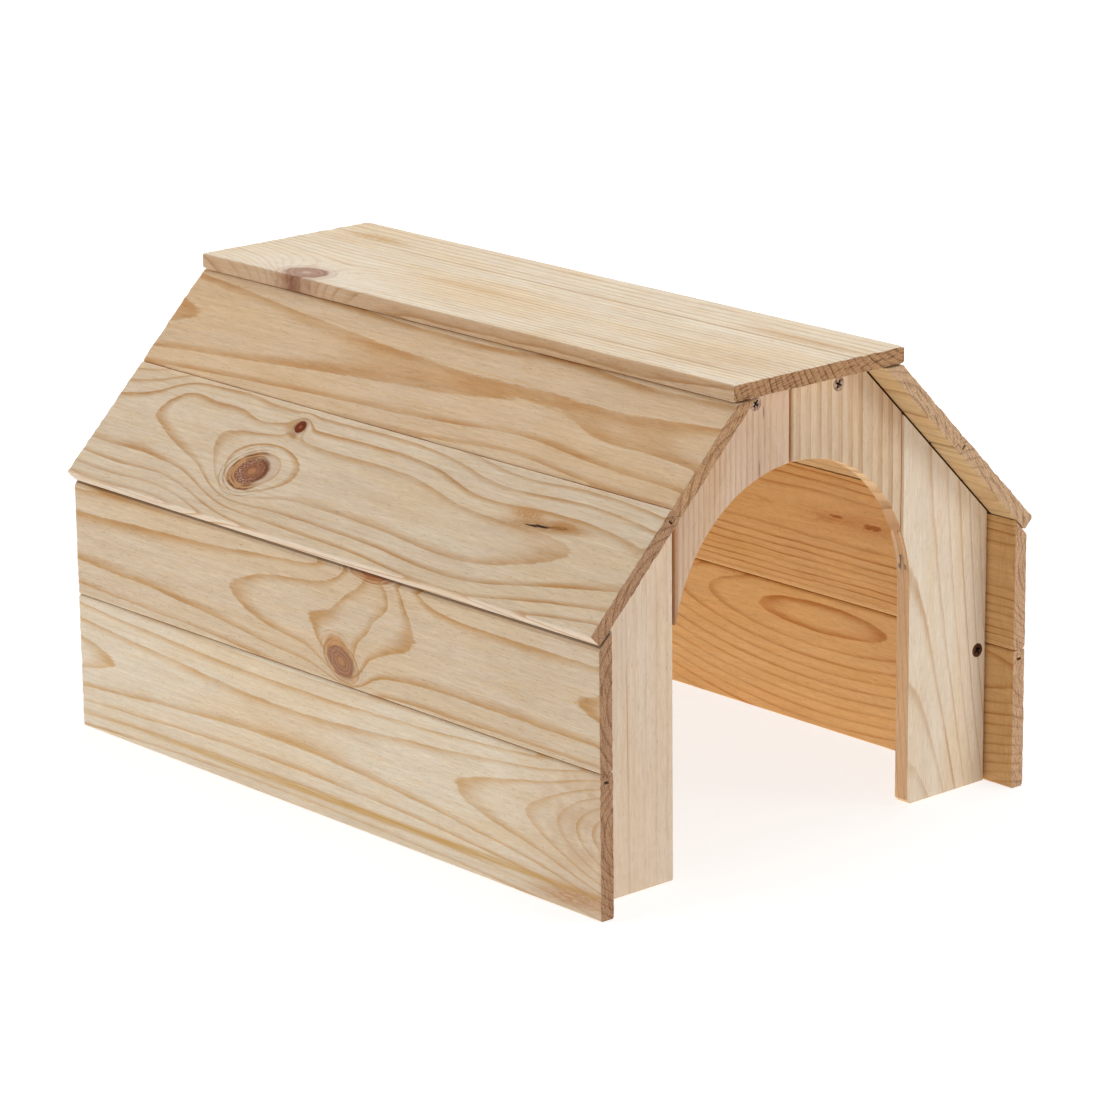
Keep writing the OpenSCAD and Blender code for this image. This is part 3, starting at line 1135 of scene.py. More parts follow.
@dataclass(frozen=True)
class Timber:
    """One wooden piece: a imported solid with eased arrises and, where it is seen, rough sawn ends.

    Attributes:
        sawn: Whether its ends are seen and roughened.
        chip: How deep the edges of a sawn end are chipped.
        tear: How deep fibres are torn out of a sawn end.
        arris: How much the edges are eased.
        core: Depths between which an edge is part of a tongue or groove and stays sharp.
        shortest: Length from which an edge is eased, in arrises.
        flat_angle: Angle below which faces are one flat, in degrees.
        sharp_angle: Angle above which an edge is eased, in degrees.
        cut_step: Distance of the cuts over a sawn end.
        end_cuts: Distances of the cuts behind a sawn end.
        end_reach: Distance from the end within which a corner lies on the cut itself.
        inner_slack: Distance from the innermost cut within which a corner stays where it is.
        chip_reach: Distance from a face within which a corner can be chipped, in arrises.
        chip_gain: How much fibres and chips add to a chip's depth, and what is taken off again.
        fibre_scale: How fine the torn fibres are.
        wave_scale: How fine the chips are.
    """

    node: str
    finish: PineFinish
    slot: Slot
    sawn: bool = False
    chip: float = 0.7
    tear: float = 0.4
    arris: float = 0.35
    core: Place = (1.5, 6.5)
    shortest: float = 6.0
    flat_angle: float = 0.5
    sharp_angle: float = 25.0
    smooth_angle: float = 20.0
    cut_step: float = 1.0
    end_cuts: Triple = (0.5, 1.4, 3.0)
    end_reach: float = 0.05
    inner_slack: float = 0.01
    chip_reach: float = 2.0
    chip_gain: Place = (0.9, 0.5)
    fibre_scale: float = 0.35
    wave_scale: float = 0.16

    def eased(self, edge: bmesh.types.BMEdge) -> bool:
        """Tells whether an edge is sharp, long enough and not part of a tongue or groove.

        Args:
            edge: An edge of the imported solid.

        Returns:
            True if the edge is eased.
        """
        if not edge.is_manifold or edge.calc_face_angle() <= math.radians(self.sharp_angle):
            return False
        depths = [self.finish.axes.local(vertex.co).z for vertex in edge.verts]
        hidden = min(depths) > self.core[0] and max(depths) < self.core[1]
        return not hidden and edge.calc_length() > self.shortest * self.arris * MM

    def blank(self) -> bmesh.types.BMesh:
        """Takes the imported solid, makes its flat faces whole and eases its edges.

        Returns:
            The eased solid.
        """
        work = packed_mesh(self.node)
        limit = math.radians(self.flat_angle)
        bmesh.ops.dissolve_limit(work, angle_limit=limit, verts=work.verts, edges=work.edges)
        sharp = [edge for edge in work.edges if self.eased(edge)]
        bmesh.ops.bevel(work, geom=sharp, offset=self.arris * MM, segments=2, profile=0.5, affect="EDGES",
                        clamp_overlap=True)
        return work

    def cut(self, work: bmesh.types.BMesh, axis: int, place: float) -> None:
        """Cuts the mesh in two across one of the board's axes, and keeps both parts joined.

        Args:
            work: The mesh.
            axis: The axis: 0 along, 1 across, 2 into the wood.
            place: Where the cut lies on it.
        """
        point = Vector((0.0, 0.0, 0.0))
        point[axis] = place
        everything = work.verts[:] + work.edges[:] + work.faces[:]
        axes = self.finish.axes
        bmesh.ops.bisect_plane(work, geom=everything, plane_co=axes.world(point),
                               plane_no=axes.rotation()[axis], dist=1e-7)

    def saw(self, work: bmesh.types.BMesh) -> None:
        """Roughens both sawn ends: torn fibres on the cut and chips along its edges.

        Args:
            work: The mesh.
        """
        axes = self.finish.axes
        low, high = corners([axes.local(vertex.co) for vertex in work.verts])
        for back in self.end_cuts:
            self.cut(work, 0, low.x + back)
            self.cut(work, 0, high.x - back)
        for axis in (1, 2):
            count = int((high[axis] - low[axis]) / self.cut_step)
            for index in range(1, count):
                self.cut(work, axis, low[axis] + index * (high[axis] - low[axis]) / count)
        reach = self.end_cuts[-1]
        for vertex in work.verts:
            point = axes.local(vertex.co)
            back = min(point.x - low.x, high.x - point.x)
            if back > reach - self.inner_slack:
                continue
            inward = 1.0 if point.x < 0 else -1.0
            spot = Vector((point.y, point.z, self.finish.figure.seed + inward))
            rough = 0.5 + 0.5 * noise.fractal(spot * self.fibre_scale, 1.0, 2.0, 3)
            wave = 0.5 + 0.5 * noise.noise(spot * self.wave_scale)
            if back < self.end_reach:
                point.x += inward * self.tear * max(0.0, min(1.0, rough))
            above, below = point.z - low.z, high.z - point.z
            if min(above, below) < self.chip_reach * self.arris:
                side = 1.0 if above < below else -1.0
                depth = max(0.0, min(1.0, self.chip_gain[0] * (rough + wave) - self.chip_gain[1]))
                point.z += side * self.chip * (1.0 - back / reach) ** 2 * depth
            vertex.co = axes.world(point)

    def build(self) -> None:
        """Makes the finished piece and puts it on the house."""
        work = self.blank()
        if self.sawn:
            self.saw(work)
        name = f"{self.node}_pine"
        mesh = bpy.data.meshes.new(name)
        work.to_mesh(mesh)
        work.free()
        smooth(mesh, self.smooth_angle)
        mesh.materials.append(self.finish.material(name))
        settle(new_object(name, mesh), self.slot, self.node)


@dataclass(frozen=True)
class SideWalls:
    """The two upright walls: a lower and an upper board each."""

    along: Triple = (0.0, 1.0, 0.0)
    across: Triple = (0.0, 0.0, 1.0)
    # Strength of the shade painted on the boards' long edges in their joints.
    joint: float = 0.3
    left_lower: Figure = Figure(
        Pine.CREAM, 38.5, 35.7, 4.0, floor=0.67, floor_place=27, floor_run=-192,
        swells=(
            Swell((-200, 40), (92, 22), -1.3), Swell((-205, 40), (34, 30), -3.2),
            Swell((205, 38.5), (45, 10), -0.45),
        ),
        pitches=(
            stain((-40, 10), (80, 0.7), 1.0, shade(208, 162, 88), 0.3),
            stain((-176, 7), (11, 1.7), 0.8, shade(192, 136, 82), 4.0),
            stain((-198, 40), (20, 17), 0.5, shade(192, 150, 112)),
        ), wash=0.6, seed=3.1,
    )
    left_upper: Figure = Figure(
        Pine.STRAW, 98, 39, 5.0, floor=0.2, floor_place=-60, floor_run=385,
        swells=(
            Swell((8, 96), (52, 26), -1.2), Swell((-210, 97), (40, 14), -0.6),
            Swell((-38, 128), (30, 20), -1.9), Swell((-25, 103), (13, 14), -0.8),
            Swell((-43, 115), (12, 9), -0.75),
        ),
        knots=(
            Knot((-11.8, 84.2), (8.6, 6.2), -22, 0.0, 0.1, 0.0, shade(218, 172, 122), shade(182, 132, 86),
                 shade(220, 178, 130), 0.0),
            Knot((-14, 79.25), (9.6, 6.6), -24, -2.0, 0.35, 0.0, shade(174, 126, 94), shade(122, 76, 50)),
            Knot((-36, 128.5), (13, 5.2), 0, -0.8, 0.6, 0.0, shade(200, 132, 88), shade(150, 90, 54),
                 specks=0.0),
        ), wash=0.6, seed=7.4, odds=8.7,
    )
    right_lower: Figure = Figure(
        Pine.HONEY, 56, 13.2, 5.0, floor=-0.43, floor_place=-63, floor_run=67.4,
        swells=(Swell((-205, 48), (46, 40), -1.6),),
        # Painted shade: darkens the strip of the wall's inner face in front of the gable.
        pitches=(stain((-187, 34), (3.4, 20), 0.3, shade(150, 98, 48)),),
        wander=0.1, late_start=0.62, wash=0.6, contrast=0.9, seed=11.8,
    )
    right_upper: Figure = Figure(
        Pine.HONEY, 108, 24, 2.6, wander=0.35, wash=0.6, seed=15.2,
        pitches=(
            Pitch((-73, 109.5), (7, 1.1), 2.0, 0.75, 0.35, shade(200, 124, 62), shade(164, 84, 26)),
            Pitch((-97.5, 108.5), (9, 2.0), 3.0, 0.75, 0.4, shade(196, 116, 58), shade(160, 80, 26)),
            # Painted shade: darkens the strip of the wall's inner face in front of the gable.
            stain((-187, 98), (3.4, 20), 0.3, shade(150, 98, 48)),
        ),
    )

    def axes(self, node: str) -> BoardAxes:
        """Returns a wall's axes from its packed board: the left one's outside, the right one's inside."""
        return BoardAxes(self.along, self.across, (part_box(node)[0].x / MM, 0.0, 0.0))

    def boards(self) -> list[Timber]:
        """Lists the four boards.

        Returns:
            The left wall's boards, then the right wall's.
        """
        figures = {
            "left_wall_lower_board": self.left_lower, "left_wall_upper_board": self.left_upper,
            "right_wall_lower_board": self.right_lower, "right_wall_upper_board": self.right_upper,
        }
        return [
            Timber(node, PineFinish(figure, self.axes(node), self.joint), Slot.WALLS, True)
            for node, figure in figures.items()
        ]


@dataclass(frozen=True)
class RoofSlopes:
    """The two slopes: a lower and an upper board each, at 45 degrees."""

    chip: float = 0.9
    left_lower: Figure = Figure(
        Pine.SAND, 25, 33.6, 4.2, floor=-0.8, floor_place=-30, floor_run=136,
        swells=(
            Swell((72, 16), (34, 20), -0.9), Swell((-75, 40), (28, 10), 0.45),
            Swell((200, 25), (32, 30), -0.5), Swell((142, 46), (18, 13), -0.85),
            Swell((150, 22), (16, 10), 0.35), Swell((82, 45), (14, 8), 0.45),
        ),
        drifts=(Swell((115, 0), (42, FAR), 8), Swell((-95, 0), (45, FAR), -6)),
        knots=(
            Knot((68.3, 18.5), (11.0, 7.3), 15, -2.6, 1.0, 1.0, specks=1.0),
            Knot((56, 46.8), (3.5, 3.3), 20, -1.5, 0.2, 0.0, shade(116, 46, 8), shade(66, 22, 2),
                 shade(190, 118, 74), 0.0),
        ),
        pitches=(
            stain((61.8, 46.6), (1.8, 1.0), 0.9, shade(188, 138, 82), 20.0),
            stain((57.6, 41.6), (1.7, 0.6), 1.0, shade(178, 126, 76), -12.0),
            stain((-113.5, 36.6), (4.4, 1.3), 1.0, shade(194, 142, 88)),
            stain((-137.5, 36.2), (3.4, 0.9), 1.0, shade(190, 138, 84)),
            Pitch((-135, 34.3), (8, 1.2), 7.0, 0.9, 0.6, shade(184, 130, 72), shade(116, 68, 32)),
            Pitch((-122.5, 32.6), (11, 1.0), 6.0, 1.0, 0.7, shade(176, 122, 64), shade(48, 24, 8)),
        ), wash=0.65, seed=19.7, odds=10.0,
    )
    left_upper: Figure = Figure(
        Pine.TAN, 89, 40, 5.0, floor=0.945, floor_place=-82, floor_run=-257,
        swells=(Swell((-190, 89), (40, 12), -0.25), Swell((-130, 83), (22, 9), -0.2)),
        drifts=(Swell((-80, 0), (40, FAR), 4),), wander=0.07, wash=0.8, seed=23.5,
    )
    right_lower: Figure = Figure(
        Pine.OCHRE, 20, 30, 4.4, floor=-0.4, floor_place=40, floor_run=150,
        swells=(Swell((-95, 30), (40, 18), -0.8),),
        knots=(Knot((-92, 33), (9, 7), 18, -2.2),), seed=27.9,
    )
    right_upper: Figure = Figure(
        Pine.OCHRE, 92, 36, 4.6, floor=0.6, floor_place=60, floor_run=-240,
        drifts=(Swell((70, 0), (60, FAR), 5),),
        # Painted shade: a dark line along the seam with the lower board, seen on the underside.
        pitches=(stain((0, 58.3), (260, 0.42), 1.0, shade(88, 54, 28)),),
        knots=(Knot((118, 76), (4.2, 3.8), 0, -1.6, 0.8, 0.0, shade(128, 72, 42), shade(78, 42, 24)),),
        seed=31.3,
    )

    def axes(self, side: int) -> BoardAxes:
        """Returns a slope's axes, with zero across where the wall's inner corner projects on the outer face.

        Args:
            side: -1 for the left slope, 1 for the right one.

        Returns:
            The slope's axes.
        """
        wall_low, wall_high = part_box("left_wall_upper_board")
        inner = -wall_high.x / MM
        out = (wall_high.x - wall_low.x) / MM * HALF_RIGHT
        face = (side * (inner + out), 0.0, self.wall_top(inner) + out)
        return BoardAxes((0.0, float(-side), 0.0), (-side * HALF_RIGHT, 0.0, HALF_RIGHT), face)

    def wall_top(self, inner: float) -> float:
        """Finds the height at which the roof's underside meets a wall's inner face.

        Args:
            inner: Distance of that face from the middle.

        Returns:
            The height.
        """
        batten_low, batten_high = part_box("front_left_slope_batten")
        thick = (batten_high.y - batten_low.y) / MM
        middle = (batten_low + batten_high) / (2 * MM)
        return middle.z + thick / 2 / HALF_RIGHT - (middle.x + inner)

    def boards(self) -> list[Timber]:
        """Lists the four boards.

        Returns:
            The left slope's boards, then the right slope's.
        """
        figures = {
            ("left_slope_lower_board", -1): self.left_lower,
            ("left_slope_upper_board", -1): self.left_upper,
            ("right_slope_lower_board", 1): self.right_lower,
            ("right_slope_upper_board", 1): self.right_upper,
        }
        outer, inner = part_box("front_left_leg")
        # The band of each slope's underside over the gable's top edge gets painted shade.
        shut = (-inner.y / MM, -outer.y / MM)
        return [
            Timber(node, PineFinish(figure, self.axes(side), shut=shut), Slot.SLOPES, True, self.chip)
            for (node, side), figure in figures.items()
        ]


@dataclass(frozen=True)
class TopBoard:
    """The flat board on the roof."""

    figure: Figure = Figure(
        Pine.PALE, 66, -34, 3.4, floor=0.1, floor_place=-40, floor_run=330,
        swells=(Swell((121.7, -44), (42, 30), -4.0),),
        knots=(Knot((117.5, -44), (12.5, 9.5), 0, -4.0, 0.25, 0.4, shade(183, 147, 126), shade(156, 108, 84),
                    shade(232, 210, 186), 1.0),),
        pitches=(
            stain((155, 30), (9, 2.2), 0.75, shade(206, 160, 96)),
            Pitch((116, -52.5), (6, 3), 0.0, 1.0, 0.85, shade(188, 124, 94), shade(180, 122, 94)),
            stain((122, -36), (24, 9), 0.6, shade(247, 238, 222)),
            stain((-150, 28), (16, 1.6), 0.6, shade(204, 158, 102)),
            stain((-148, -20), (15, 5), 0.4, shade(212, 168, 108)),
            stain((33, -9), (14, 1.6), 0.5, shade(212, 168, 108)),
            stain((-60, 20.8), (80, 0.26), 0.9, shade(184, 138, 88), 0.1),
            stain((-125, -35.5), (28, 0.3), 0.9, shade(188, 142, 92), 0.4),
        ),
        wander=0.4, late_start=0.55, contrast=0.85, seed=35.6, odds=-20.0,
    )

    def boards(self) -> list[Timber]:
        """Lists the one board.

        Returns:
            The board, in a list.
        """
        node = "top_board"
        axes = BoardAxes((0.0, 1.0, 0.0), (1.0, 0.0, 0.0), (0.0, 0.0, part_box(node)[1].z / MM))
        return [Timber(node, PineFinish(self.figure, axes), Slot.TOP, True)]


@dataclass(frozen=True)
class Gables:
    """The front gable with the doorway and the closed back gable, of upright boards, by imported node."""

    front: tuple[tuple[str, Figure], ...] = (
        ("front_left_leg", Figure(
            Pine.IVORY, -190, 40, 6.0, wander=0.4, contrast=0.35, seed=39.2,
            pitches=(
                # Painted light: a paler patch at the foot of the leg, for light thrown up from the floor.
                stain((6, -100), (14, 12), 0.45, shade(246, 229, 206)),
                Pitch((75, -103.3), (45, 0.25), 0.6, 0.45, 0.3, shade(190, 150, 115), shade(140, 95, 65)),
            ))),
        ("front_left_centre_board", Figure(
            Pine.ROSE, 24, 30, 3.0, wander=0.2, late_start=0.5, contrast=0.55, seed=43.8,
            pitches=(
                Pitch((206, -21), (4.5, 0.45), 4.0, 0.7, 0.3, shade(190, 140, 115), shade(120, 72, 52)),
                Pitch((180, -23.5), (6, 0.5), 0.0, 0.6, 0.3, shade(190, 140, 115), shade(120, 72, 52)),
            ))),
        ("front_right_centre_board", Figure(
            Pine.WHEAT, -120, 30, 6.4, wander=0.14, contrast=0.8, late_start=0.4, wash=0.6, seed=47.5)),
        ("front_right_leg", Figure(
            Pine.MILK, 70, 60, 3.6, floor=0.42, floor_place=190, floor_run=-107, wander=0.1, late_start=0.66,
            contrast=0.65, seed=51.1)),
    )
    back: tuple[tuple[str, Figure], ...] = (
        ("back_left_board", Figure(Pine.CREAM, 100, 40, 4.4, floor_place=240, floor_run=160, seed=55.9)),
        ("back_left_centre_board", Figure(
            Pine.STRAW, 38, 34, 4.6, floor=0.3, floor_place=120, floor_run=-170,
            knots=(Knot((132, 52), (7, 6), 0, -2.0),), seed=59.3)),
        ("back_right_centre_board", Figure(Pine.PALE, 60, 22, 4.0, floor_run=300, seed=63.7)),
        ("back_right_board", Figure(
            Pine.CREAM, -96, 36, 4.2, floor=-0.3, floor_place=60, floor_run=110, seed=67.2)),
    )

    def boards(self) -> list[Timber]:
        """Lists the eight boards.

        Returns:
            The front gable's boards, then the back gable's.
        """
        made = []
        for figures, side in ((self.front, 1.0), (self.back, -1.0)):
            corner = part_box(figures[0][0])[0 if side > 0 else 1]
            axes = BoardAxes((0.0, 0.0, 1.0), (side, 0.0, 0.0), (0.0, corner.y / MM, 0.0))
            made += [Timber(node, PineFinish(figure, axes), Slot.GABLES) for node, figure in figures]
        return made


@dataclass(frozen=True)
class Battens:
    """The battens behind the gables, straight-grained and sawn square, by the ways they run."""

    off_centre: float = 70.0
    pith_depth: float = 60.0
    ring_width: float = 2.6
    first_seed: float = 71.0
    seed_step: float = 3.7
    ways: tuple[tuple[str, Triple], ...] = (
        ("left_wall", (0.0, 0.0, 1.0)), ("right_wall", (0.0, 0.0, 1.0)),
        ("left_slope", (HALF_RIGHT, 0.0, HALF_RIGHT)), ("right_slope", (-HALF_RIGHT, 0.0, HALF_RIGHT)),
        ("top", (1.0, 0.0, 0.0)),
    )

    def boards(self) -> list[Timber]:
        """Lists the ten battens, each with its grain along it.

        Returns:
            The front battens, then the back ones.
        """
        made: list[Timber] = []
        for end in ("front", "back"):
            for place, way in self.ways:
                node = f"{end}_{place}_batten"
                low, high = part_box(node)
                axes = BoardAxes(way, (0.0, 1.0, 0.0), tuple((low + high) / (2 * MM)))
                figure = Figure(Pine.CREAM, self.off_centre, self.pith_depth, self.ring_width, wander=0.2,
                                contrast=0.8, seed=self.first_seed + self.seed_step * len(made))
                made.append(Timber(node, PineFinish(figure, axes), Slot.BATTENS))
        return made


class PointShape(NodeGroup):
    """A Geometry Nodes tree that sets one shape at each point of a mesh."""

    kind = "GeometryNodeTree"
    gives = {"Geometry": GEOMETRY}
    sizes: dict[str, float] = {}
    smooth_angle = 35.0

    def __init__(self) -> None:
        """Lists the tree's inputs: the points, the shape's sizes, its roll and its material."""
        self.takes = {
            "Geometry": GEOMETRY, **dict.fromkeys(self.sizes, FLOAT), "Roll": FLOAT, "Seed": "NodeSocketInt",
            "Finish": "NodeSocketMaterial",
        }

    def shape(self, sheet: NodeSheet, given: Wires) -> Wire:
        """Adds the nodes of one shape from the tree's sizes, and returns its mesh."""
        raise NotImplementedError

    def fill(self, given: Wires) -> Wires:
        """Adds the shape, set at each point by its aim, rolled by a seed, and made real.

        Args:
            given: The group's inputs by name.

        Returns:
            What each output shows, by name.
        """
        sheet = given["Geometry"].sheet
        shape = self.shape(sheet, given)
        label = {"Name": "aim"}
        angles = sheet.wire("GeometryNodeInputNamedAttribute", label, "Attribute", data_type="FLOAT_VECTOR")
        turn = sheet.wire("FunctionNodeEulerToRotation", {0: angles})
        placed = sheet.wire("GeometryNodeInstanceOnPoints", {
            "Points": given["Geometry"], "Instance": shape, "Rotation": turn,
        })
        roll = sheet.wire("FunctionNodeRandomValue", {"Seed": given["Seed"]}, 1, data_type="FLOAT")
        about = sheet.wire("ShaderNodeCombineXYZ", {2: roll * given["Roll"]})
        rolled = sheet.wire("GeometryNodeRotateInstances", {
            "Instances": placed, "Rotation": about, "Local Space": True,
        })
        real = sheet.wire("GeometryNodeRealizeInstances", {0: rolled})
        done = sheet.wire("GeometryNodeSetMaterial", {"Geometry": real, "Material": given["Finish"]})
        return {"Geometry": done}

    def tree(self) -> bpy.types.NodeTree:
        """Finds the tree and makes it ready for a modifier.

        Returns:
            The tree.
        """
        tree = super().tree()
        tree.is_modifier = True
        return tree

    def build(self, name: str, points: Sequence[Vector], aim: Sequence[float], finish: bpy.types.Material,
              roll: float = 0.0, seed: int = 1) -> bpy.types.Object:
        """Sets the shapes and turns them into one plain mesh.

        Args:
            name: Name of the piece.
            points: Where each shape goes, in metres.
            aim: Euler angles of the shapes.
            finish: The material.
            roll: Largest roll about the shape's own axis, in radians.
            seed: Seed of the roll.

        Returns:
            The piece, with no modifier left on it.
        """
        mesh = bpy.data.meshes.new(name)
        mesh.from_pydata([tuple(point) for point in points], [], [])
        turns = mesh.attributes.new("aim", "FLOAT_VECTOR", "POINT")
        turns.data.foreach_set("vector", list(aim) * len(points))
        piece = new_object(name, mesh)
        tree = self.tree()
        modifier = piece.modifiers.new("set", "NODES")
        modifier.node_group = tree
        values = {label: size * MM for label, size in self.sizes.items()}
        values.update({"Roll": roll, "Seed": seed, "Finish": finish})
        for socket in tree.interface.items_tree:
            if socket.in_out == "INPUT" and socket.name in values:
                modifier[socket.identifier] = values[socket.name]
        bpy.context.view_layer.update()
        seen = piece.evaluated_get(bpy.context.evaluated_depsgraph_get())
        real = bpy.data.meshes.new_from_object(seen)
        piece.modifiers.clear()
        piece.data = real
        real.name = name
        smooth(real, self.smooth_angle)
        return piece


class ScrewShape(PointShape):
    """A countersunk screw with a cross recess: its head lies at zero and its point along Z."""

    name = "countersunk_screw"
    sizes = {
        "Head": 6.6, "Rim": 0.4, "Shank": 3.5, "Length": 20.0, "Point": 3.5, "Recess Span": 3.8,
        "Recess Width": 1.0, "Recess Depth": 1.6,
    }
    sides = 40
    tip_share = 0.06

    def grow(self, sheet: NodeSheet, mesh: Value, top: Value, length: Value,
             scale: Value) -> tuple[Wire, Wire]:
        """Draws the screw on from its last face.

        Args:
            sheet: The tree.
            mesh: The screw so far.
            top: Picks its last face.
            length: How far it is drawn on.
            scale: Size of the new end to the old one.

        Returns:
            The longer screw and what picks its new last face.
        """
        longer = sheet.add("GeometryNodeExtrudeMesh", {
            "Mesh": mesh, "Selection": top, "Offset Scale": length, "Individual": False,
        }, mode="FACES")
        last = Wire(sheet, longer.outputs["Top"])
        return sheet.wire("GeometryNodeScaleElements", {
            "Geometry": longer.outputs["Mesh"], "Selection": last, "Scale": scale,
        }, domain="FACE"), last

    def shape(self, sheet: NodeSheet, given: Wires) -> Wire:
        """Adds the rim, the cone, the shank and the point, and cuts the cross.

        Args:
            sheet: The tree.
            given: The tree's sizes by name.

        Returns:
            The screw's mesh.
        """
        disc = sheet.add("GeometryNodeMeshCylinder", {
            "Vertices": self.sides, "Radius": given["Head"] * 0.5, "Depth": given["Rim"],
        })
        cone = (given["Head"] - given["Shank"]) * 0.5
        narrow = given["Shank"] / given["Head"]
        straight = given["Length"] - (given["Rim"] + cone + given["Point"])
        mesh, top = self.grow(sheet, disc.outputs["Mesh"], disc.outputs["Top"], cone, narrow)
        mesh, top = self.grow(sheet, mesh, top, straight, 1.0)
        mesh, top = self.grow(sheet, mesh, top, given["Point"], self.tip_share)
        lift = sheet.wire("ShaderNodeCombineXYZ", {2: given["Rim"] * 0.5})
        moved = sheet.wire("GeometryNodeTransform", {"Geometry": mesh, "Translation": lift})
        cut = sheet.add("GeometryNodeMeshBoolean", {"Mesh 1": moved}, operation="DIFFERENCE")
        span, width, depth = (given[f"Recess {part}"] for part in ("Span", "Width", "Depth"))
        for across, along in ((span, width), (width, span)):
            size = sheet.wire("ShaderNodeCombineXYZ", {0: across, 1: along, 2: depth * 2.0})
            sheet.feed(cut.inputs["Mesh 2"], sheet.wire("GeometryNodeMeshCube", {"Size": size}, "Mesh"))
        return Wire(sheet, cut.outputs[0])


class StapleShape(PointShape):
    """A wire staple: the middle of its box lies at zero, its crown along Y and its legs along Z."""

    name = "wire_staple"
    sizes = {"Width": 10.0, "Length": 21.0, "Wire Width": 1.25, "Wire Thickness": 1.0, "Corner": 0.9}

    def shape(self, sheet: NodeSheet, given: Wires) -> Wire:
        """Adds the bent wire.

        Args:
            sheet: The tree.
            given: The tree's sizes by name.

        Returns:
            The staple's mesh.
        """
        half = (given["Width"] - given["Wire Thickness"]) * 0.5
        other = half * -1.0
        tip = given["Length"] * 0.5
        crown = given["Wire Thickness"] * 0.5 - tip
        bends = ((other, tip), (other, crown), (half, crown), (half, tip))
        path = sheet.wire("GeometryNodeCurvePrimitiveQuadrilateral", {
            f"Point {number}": sheet.wire("ShaderNodeCombineXYZ", {1: side, 2: rise})
            for number, (side, rise) in enumerate(bends, 1)
        }, mode="POINTS")
        opened = sheet.wire("GeometryNodeSetSplineCyclic", {"Geometry": path, "Cyclic": False})
        bent = sheet.wire("GeometryNodeFilletCurve", {"Curve": opened, "Radius": given["Corner"]})
        profile = sheet.wire("GeometryNodeCurvePrimitiveQuadrilateral", {
            "Width": given["Wire Thickness"], "Height": given["Wire Width"],
        })
        return sheet.wire("GeometryNodeCurveToMesh", {
            "Curve": bent, "Profile Curve": profile, "Fill Caps": True,
        })


@dataclass(frozen=True)
class Screws:
    """The screws of the gables and of the slope battens, all along the house."""

    bronze: SteelFinish = SteelFinish(shade(158, 130, 110), shade(108, 84, 68), shade(88, 66, 50))
    zinc: SteelFinish = SteelFinish(shade(172, 166, 156), shade(132, 122, 110), shade(140, 130, 118))
    roll: float = math.radians(80)
    seed: int = 7

    def build(self) -> None:
        """Sets the four groups of screws."""
        for place, finish, sense in (("gable", self.bronze, 1), ("slope_batten", self.zinc, -1)):
            low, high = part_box(f"back_{place}_screws")
            head = (high.y if sense > 0 else low.y) / MM
            steel = finish.material(f"{place}_screw_steel", head, sense)
            for end, outward in (("front", -1), ("back", 1)):
                node = f"{end}_{place}_screws"
                facing = outward * sense
                points = []
                for low, high in islands(node):
                    middle = (low + high) / 2
                    points.append(Vector((middle.x, low.y if facing < 0 else high.y, middle.z)))
                aim = (facing * math.pi / 2, 0.0, 0.0)
                name = f"{end}_{place}_screw_set"
                piece = ScrewShape().build(name, points, aim, steel, self.roll, self.seed + outward)
                settle(piece, Slot.SCREWS, node)


@dataclass(frozen=True)
class Staples:
    """The staples that hold the boards to their battens, driven from inside, by the ways they aim."""

    steel: SteelFinish = SteelFinish(shade(196, 198, 200), shade(160, 158, 152), shade(176, 174, 170),
                                     spot=2.4, roughness=0.34)
    ways: tuple[tuple[str, Triple], ...] = (
        ("left_wall", (-1.0, 0.0, 0.0)), ("right_wall", (1.0, 0.0, 0.0)),
        ("left_slope", (-HALF_RIGHT, 0.0, HALF_RIGHT)), ("right_slope", (HALF_RIGHT, 0.0, HALF_RIGHT)),
        ("top", (0.0, 0.0, 1.0)),
    )

    def build(self) -> None:
        """Sets the five groups of staples."""
        finish = self.steel.material("staple_steel")
        crown = Vector((0.0, 1.0, 0.0))
        for panel, way in self.ways:
            node = f"{panel}_staples"
            points = [(low + high) / 2 for low, high in islands(node)]
            turn = Matrix((crown.cross(Vector(way)), crown, way)).transposed().to_euler("XYZ")
            settle(StapleShape().build(f"{panel}_staple_set", points, turn, finish), Slot.STAPLES, node)


@dataclass(frozen=True)
class Lamp:
    """A soft square lamp: its name, its place and side in metres, and its power in watts."""

    name: str
    place: Triple
    size: float
    power: float

    def build(self, aim: Vector) -> None:
        """Hangs the lamp so that it faces a point.

        Args:
            aim: The point, in metres.
        """
        data = bpy.data.lights.new(self.name, "AREA")
        data.size = self.size
        data.energy = self.power
        lamp = new_object(self.name, data)
        lamp.location = self.place
        lamp.rotation_euler = (aim - Vector(self.place)).to_track_quat("-Z", "Y").to_euler()


